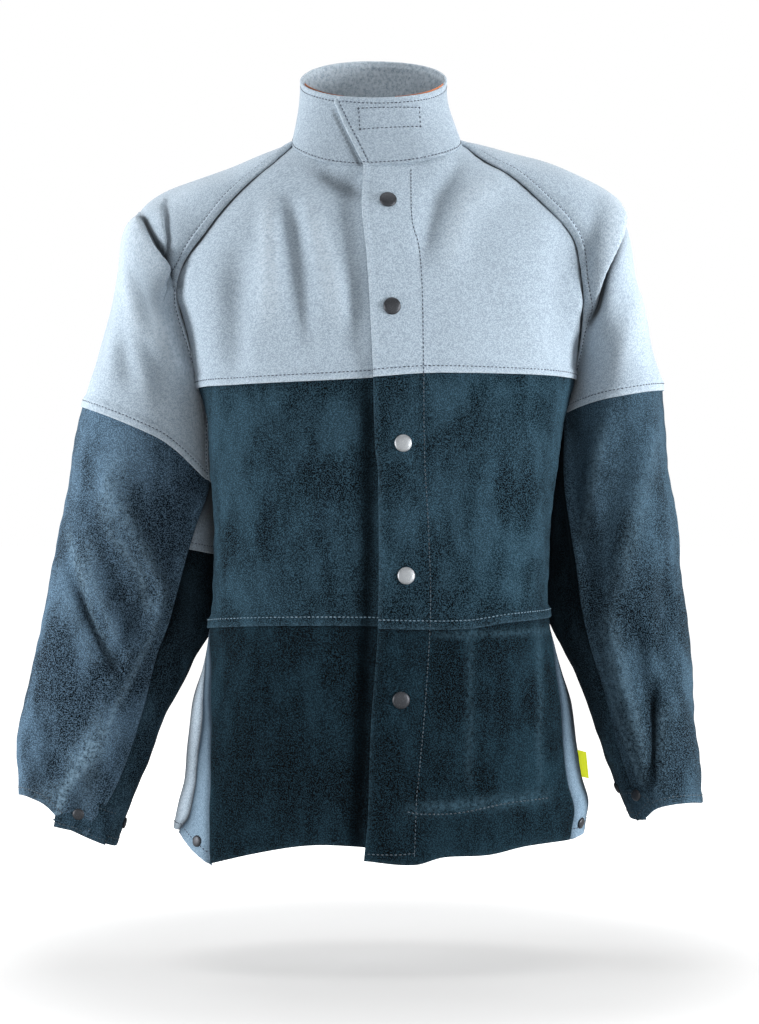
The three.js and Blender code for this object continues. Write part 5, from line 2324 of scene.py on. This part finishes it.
@dataclass
class Collar:
    """Stand collar with its stitched closure box and the rust edging inside its front rim."""

    steps: tuple[int, int] = (240, 32)
    wall: float = 2.6
    # Painted shade over the whole collar.
    tone: float = 0.16
    inner_wear: float = 1.0
    trim_wall: float = 0.8
    trim_depth: float = 1.5
    trim_stand: float = 1.0
    trim_inset: float = 0.3
    trim_steps: tuple[int, int] = (60, 8)
    trims: dict[Side, tuple[float, float]] = field(default_factory=lambda: {
        Side.RIGHT: (-74.0, -24.0), Side.LEFT: (-344.0, -286.0),
    })
    box: Line = field(default_factory=lambda: [
        (-15.8, 28.6), (47, 31.4), (48.1, 11.3), (-14.2, 6.9), (-15.8, 28.6),
    ])
    panels: dict[str, Panel] = field(default_factory=dict)

    def cut(self) -> None:
        """Cut the band."""
        edges = {Edge.FIRST: COLLAR_BASE, Edge.LAST: COLLAR_EDGE, Edge.END: COLLAR_EDGE}
        self.panels["collar"] = Panel(
            node="collar",
            cloth=Cloth.COTTON,
            base=make_grid(self.steps, COLLAR.band),
            sign=-1,
            edges=edges,
            folded=False,
            shade=even_shade(self.tone),
            wall=self.wall,
            inner_wear=self.inner_wear,
            rests_on="neck_hang",
        )

    def sew(self, stitching: Stitching) -> None:
        """Sew the rim, the flap end, the base and the closure box.

        Args:
            stitching: takes the rows.
        """
        band = self.panels["collar"]
        stitching.add(Thread.NAVY, *band.sewn_rows())
        for first, second in zip(self.box, self.box[1:]):
            stitching.add(Thread.NAVY, band.row_over([first, second]))

    def trim(self, material: bpy.types.Material) -> list[bpy.types.Object]:
        """Make the rust edging strips inside the front rim.

        Args:
            material: finish of the edging.

        Returns:
            The pieces.
        """
        made = []
        for side in self.trims:
            node = f"collar_trim_{side.word}"
            outer = make_grid(self.trim_steps, partial(self.trim_point, side))
            piece = make_strip(f"{node}_sewn", outer, self.trim_wall, material)
            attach(piece, BODY)
            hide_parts(node)
            made.append(piece)
        return made

    def trim_point(self, side: Side, along: Array, up: Array) -> Array:
        """Points of one edging strip.

        Args:
            side: side of the wearer.
            along: shares along.
            up: shares up.

        Returns:
            The points.
        """
        start, stop = self.trims[side]
        point = COLLAR.point(lerp(stop, start, along), np.ones(along.shape))
        point = point - COLLAR.outward(point) * (self.wall + self.trim_inset)
        point[..., 2] += lerp(-self.trim_depth, self.trim_stand, up)
        return point


class Cap(Enum):
    """Kinds of snap cap, by the word in the name of their piece."""

    DARK = "dark"
    BRIGHT = "bright"
    SMALL = "small"


@dataclass(frozen=True)
class SnapSeat:
    """Where one snap cap sits: its node, its host panel and the ray that finds it."""

    node: str
    host: str
    origin: tuple[float, float, float]
    direction: tuple[float, float, float]

    @classmethod
    def from_front(cls, node: str, host: str, x: float, z: float) -> "SnapSeat":
        """Seat that is found straight from the front."""
        return cls(node, host, (x, -FAR, z), (0.0, 1.0, 0.0))


@dataclass
class Snaps:
    """Domed snap caps on the front, the cuffs and the hem."""

    front_radius: float = 8.75
    front_rise: float = 3.4
    small_radius: float = 6.0
    small_rise: float = 2.4
    gap: float = 0.1
    rim_rays: int = 16
    rim_share: float = 0.6
    segments: int = 48
    profile: Line = field(default_factory=lambda: [
        (0.0, -0.25), (0.9, -0.25), (0.94, 0.05), (1.0, 0.12), (1.0, 0.3), (0.965, 0.46), (0.89, 0.62),
        (0.76, 0.78), (0.58, 0.9), (0.36, 0.97), (0.16, 0.995), (0.0, 1.0),
    ])

    def seats(self) -> dict[Cap, list[SnapSeat]]:
        """List the seats.

        Returns:
            Seats by kind of cap.
        """
        to_left, to_right = (1.0, 0.0, 0.0), (-1.0, 0.0, 0.0)
        front = SnapSeat.from_front
        yoke, upper = "front_yoke_left", "front_leather_upper_left"
        return {
            Cap.DARK: [
                front("front_snap_1", yoke, 14.5, -69.0),
                front("front_snap_2", yoke, 18.4, -179.0),
                front("front_snap_5", "front_leather_lower_left", 27.4, -575.0),
            ],
            Cap.BRIGHT: [
                front("front_snap_3", upper, 29.5, -317.0),
                front("front_snap_4", upper, 32.5, -450.0),
            ],
            Cap.SMALL: [
                front("cuff_snap_right_1", "sleeve_leather_top_right", -306.0, -699.0),
                SnapSeat("cuff_snap_right_2", "sleeve_leather_under_right", (0.0, -20.0, -713.0), to_right),
                front("cuff_snap_left_1", "cuff_tab_left", 272.0, -679.0),
                SnapSeat("cuff_snap_left_2", "sleeve_leather_under_left", (0.0, -20.0, -676.0), to_left),
                SnapSeat("hem_snap_right", "side_panel_right", (-FAR, -80.0, -724.0), to_left),
                SnapSeat("hem_snap_left", "side_panel_left", (FAR, -58.0, -708.0), to_right),
            ],
        }

    def cap(self, radius: float, rise: float) -> bpy.types.Object:
        """Template cap as a turned profile.

        Args:
            radius: radius of its rim.
            rise: height of its dome.

        Returns:
            The cap, to be removed when it has been set out.
        """
        shape = bmesh.new()
        corners = [shape.verts.new((r * radius * MM, 0.0, h * rise * MM)) for r, h in self.profile]
        edges = [shape.edges.new(pair) for pair in zip(corners, corners[1:])]
        bmesh.ops.spin(
            shape,
            geom=corners + edges,
            axis=(0.0, 0.0, 1.0),
            cent=(0.0, 0.0, 0.0),
            angle=2.0 * math.pi,
            steps=self.segments,
        )
        bmesh.ops.remove_doubles(shape, verts=shape.verts, dist=1e-6)
        bmesh.ops.recalc_face_normals(shape, faces=shape.faces)
        for face in shape.faces:
            face.smooth = True
        mesh = bpy.data.meshes.new("cap")
        shape.to_mesh(mesh)
        shape.free()
        return place_object("cap", mesh)

    def tree(self, material: bpy.types.Material) -> bpy.types.NodeTree:
        """Geometry tree that sets a cap on every point, turned along the cloth there.

        Args:
            material: finish of the caps.

        Returns:
            The tree.
        """
        tree = bpy.data.node_groups.new("snap_caps", "GeometryNodeTree")
        tree.interface.new_socket("Geometry", in_out="INPUT", socket_type="NodeSocketGeometry")
        tree.interface.new_socket("Cap", in_out="INPUT", socket_type="NodeSocketObject")
        tree.interface.new_socket("Scale", in_out="INPUT", socket_type="NodeSocketFloat")
        tree.interface.new_socket("Geometry", in_out="OUTPUT", socket_type="NodeSocketGeometry")
        graph = Graph(tree)
        given = graph.add("NodeGroupInput").outputs
        places = graph.add("GeometryNodeMeshToPoints", {"Mesh": given["Geometry"]})
        facing = graph.add("GeometryNodeInputNamedAttribute", {"Name": "facing"}, data_type="FLOAT_VECTOR")
        turn = graph.add("FunctionNodeAlignRotationToVector", {"Vector": facing.outputs[0]}, axis="Z")
        cap = graph.add("GeometryNodeObjectInfo", {"Object": given["Cap"], "As Instance": True})
        laid = graph.add("GeometryNodeInstanceOnPoints", {
            "Points": places.outputs[0],
            "Instance": cap.outputs["Geometry"],
            "Rotation": turn.outputs[0],
            "Scale": given["Scale"],
        })
        real = graph.add("GeometryNodeRealizeInstances", {0: laid.outputs[0]})
        dressed = graph.add("GeometryNodeSetMaterial", {"Geometry": real.outputs[0], "Material": material})
        graph.add("NodeGroupOutput", {0: dressed.outputs[0]})
        return tree

    def seat(self, seat: SnapSeat, panel: Panel, radius: float) -> tuple[Vector, Vector]:
        """Seat one cap, raised clear of the cloth under its rim.

        Args:
            seat: the seat.
            panel: its host.
            radius: radius of the cap's rim.

        Returns:
            The place of the cap and the way it faces.
        """
        tree = panel.tree()
        point = tree.ray_cast(seat.origin, seat.direction)[0]
        away = np.linalg.norm(panel.outer.reshape(-1, 3) - np.array(point), axis=1)
        outward = Vector(panel.normals.reshape(-1, 3)[np.argmin(away)])
        high = 0.0
        side = outward.orthogonal().normalized()
        other = outward.cross(side)
        for step in range(self.rim_rays):
            around = 2.0 * math.pi * step / self.rim_rays
            spoke = (side * math.cos(around) + other * math.sin(around)) * radius
            touch = tree.ray_cast(point + spoke + outward * radius, -outward)[0]
            if touch is not None:
                high = max(high, (touch - point).dot(outward))
        return point + outward * (high * self.rim_share + self.gap), outward

    def build(self, panels: dict[str, Panel], wardrobe: Wardrobe) -> list[bpy.types.Object]:
        """Set all caps, one piece for each kind.

        Args:
            panels: all panels by node.
            wardrobe: all finishes.

        Returns:
            The pieces.
        """
        sizes = {
            Cap.DARK: (self.front_radius, self.front_rise, wardrobe.dark_metal),
            Cap.BRIGHT: (self.front_radius, self.front_rise, wardrobe.bright_metal),
            Cap.SMALL: (self.small_radius, self.small_rise, wardrobe.dark_metal),
        }
        made = []
        for kind, seats in self.seats().items():
            radius, rise, metal = sizes[kind]
            found = [self.seat(seat, panels[seat.host], radius) for seat in seats]
            mesh = bpy.data.meshes.new(f"{kind.value}_seats")
            mesh.from_pydata([tuple(point * MM) for point, _ in found], [], [])
            facing = mesh.attributes.new("facing", "FLOAT_VECTOR", "POINT")
            facing.data.foreach_set("vector", np.array([tuple(way) for _, way in found]).ravel())
            carrier = place_object(f"{kind.value}_seats", mesh)
            cap = self.cap(radius, rise)
            piece = bake(carrier, self.tree(metal), {"Cap": cap, "Scale": 1.0}, f"snap_caps_{kind.value}")
            bpy.data.objects.remove(cap)
            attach(piece, BODY)
            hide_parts(*[seat.node for seat in seats])
            made.append(piece)
        return made


@dataclass
class LabelTab:
    """Plain loop of tape sewn into the left side seam."""

    width: float = 9.5
    length: float = 28.0
    wall: float = 1.5
    sewn_in: float = 1.5
    bow: float = 1.2
    bow_low: float = 0.4
    droop: float = 2.2
    droop_power: float = 1.5
    steps: tuple[int, int] = (14, 28)

    def build(self, material: bpy.types.Material, hosts: list[Panel]) -> bpy.types.Object:
        """Make the loop in the place of its CAD node.

        Args:
            material: finish of the tape.
            hosts: panels on both sides of the seam.

        Returns:
            The piece.
        """
        low, high = (np.array(corner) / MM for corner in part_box("label_tab"))
        middle = (low + high) / 2.0
        trees = [host.tree() for host in hosts]

        def seam_at(height: float) -> float:
            """Outermost cloth at a height of the label."""
            hits = [tree.ray_cast((FAR, middle[1], height), (-1.0, 0.0, 0.0))[0] for tree in trees]
            return max(hit[0] for hit in hits if hit is not None)

        ends = [seam_at(low[2]), seam_at(low[2] + self.length)]

        def point_at(across: Array, up: Array) -> Array:
            """Points of the tape, hanging a little at its free edge.

            Args:
                across: shares across.
                up: shares up.

            Returns:
                The points.
            """
            x = lerp(ends[0], ends[1], up) - self.sewn_in + across * (self.width + self.sewn_in)
            bow = self.bow * np.sin(np.pi * across) * lerp(self.bow_low, 1.0, up)
            y = middle[1] - self.wall / 2.0 - bow
            z = low[2] + up * self.length - self.droop * across**self.droop_power
            return np.stack([x, y, z], axis=-1)

        piece = make_strip("label_tab_sewn", make_grid(self.steps, point_at), self.wall, material)
        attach(piece, BODY)
        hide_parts("label_tab")
        width, length = (self.width + self.sewn_in) * MM, self.length * MM
        return piece


@dataclass
class Studio:
    """Pale floor, white surroundings, soft lights and the camera."""

    floor_height: float = -0.86
    floor_half: float = 30.0
    floor_tones: tuple[Colour, Colour] = ((0.5, 0.5, 0.5, 1.0), (0.53, 0.53, 0.53, 1.0))
    floor_grain: float = 3.0
    floor_roughness: float = 0.9
    surround_light: float = 0.13
    eye: tuple[float, float, float] = (0.0058, -2.563, -0.386)
    glow_reach: tuple[float, float] = (0.3, 0.85)
    near_glow: Colour = (0.15, 0.15, 0.15, 1.0)
    far_glow: Colour = (1.05, 1.05, 1.05, 1.0)
    lens: float = 85.0
    sensor: float = 36.0
    aim: tuple[float, float, float] = (0.0, 0.0, -0.35)

    def build(self) -> None:
        """Set up everything that isn't part of the jacket."""
        self._floor()
        self._surroundings()
        self._light("key_right", (2.5, -1.0, -0.25), 0.7, 102.0)
        self._light("key_left", (-2.5, -0.55, -0.25), 0.7, 80.0)
        self._light("front", (0.1, -2.6, 0.0), 1.6, 18.0)
        self._light("rim_right", (1.6, 0.9, 0.0), 0.8, 20.0)
        self._light("rim_left", (-1.6, 0.8, 0.0), 0.8, 21.0)
        self._light("top", (0.0, 0.05, 1.6), 2.2, 37.0)
        self._camera()
        bpy.context.scene.view_settings.view_transform = "Standard"

    def _floor(self) -> None:
        """Pale floor that is nearly white where nothing shades it."""
        half, height = self.floor_half / MM, self.floor_height / MM
        signs = ((-1, -1), (1, -1), (1, 1), (-1, 1))
        corners = np.array([(x * half, y * half, height) for x, y in signs])
        material, graph, shader = new_material("pale_floor")
        place = graph.place()
        tone = graph.mix(graph.noise(place, self.floor_grain), *self.floor_tones)
        ends = {0: place, 1: (0.0, 0.0, self.floor_height)}
        away = graph.add("ShaderNodeVectorMath", ends, operation="DISTANCE").outputs["Value"]
        glow = graph.mix(graph.ramp(away, *self.glow_reach), self.near_glow, self.far_glow)
        seen = graph.add("ShaderNodeLightPath").outputs["Is Camera Ray"]
        glow = graph.mix(seen, BLACK, glow)
        graph.fill(shader, {
            "Base Color": tone,
            "Emission Color": glow,
            "Roughness": self.floor_roughness,
            "Emission Strength": 1.0,
        })
        make_object("floor", corners, np.array([[0, 1, 2, 3]]), material)

    def _surroundings(self) -> None:
        """White backdrop for the eye, softer for the light that it sheds."""
        world = bpy.data.worlds.new("studio")
        world.use_nodes = True
        world.node_tree.nodes.clear()
        graph = Graph(world.node_tree)
        seen = graph.add("ShaderNodeLightPath").outputs["Is Camera Ray"]
        strength = graph.add("ShaderNodeMapRange", {0: seen, 3: self.surround_light, 4: 1.0}).outputs[0]
        back = graph.add("ShaderNodeBackground", {"Color": WHITE, "Strength": strength})
        graph.add("ShaderNodeOutputWorld", {"Surface": back.outputs[0]})
        bpy.context.scene.world = world

    def _light(self, name: str, place: tuple[float, float, float], size: float, power: float) -> None:
        """Square softbox aimed at the jacket.

        Args:
            name: name of the light.
            place: where it hangs, in metres.
            size: side of the box.
            power: watts.
        """
        light = bpy.data.lights.new(name, "AREA")
        light.size = size
        light.energy = power
        made = place_object(name, light)
        made.location = place
        made.rotation_euler = (Vector(self.aim) - Vector(place)).to_track_quat("-Z", "Y").to_euler()
        made.visible_camera = False

    def _camera(self) -> None:
        """Level camera in front of the jacket."""
        camera = bpy.data.cameras.new("eye")
        camera.lens = self.lens
        camera.sensor_width = self.sensor
        made = place_object("eye", camera)
        made.location = self.eye
        made.rotation_euler = (math.pi / 2.0, 0.0, 0.0)
        bpy.context.scene.camera = made


def main() -> None:
    """Build the jacket piece by piece, then its studio."""
    logging.basicConfig(level=logging.INFO, format="%(name)s: %(message)s")
    wardrobe = Wardrobe()
    stitching = Stitching()
    collar = Collar()
    parts = [Fronts(), SidesAndBack(), Sleeves(), collar]
    panels: dict[str, Panel] = {}
    for part in parts:
        part.cut()
        part.sew(stitching)
        panels.update(part.panels)
    pieces = [panel.build(wardrobe.of(panel)) for panel in panels.values()]
    pieces += collar.trim(wardrobe.trim)
    pieces += Snaps().build(panels, wardrobe)
    pieces.append(LabelTab().build(wardrobe.label, [panels["side_panel_left"], panels["back_panel"]]))
    pieces += stitching.build(wardrobe)
    for piece in pieces:
        LOG.info("%s: %d faces", piece.name, len(piece.data.polygons))
    Studio().build()


if __name__ == "__main__":
    main()
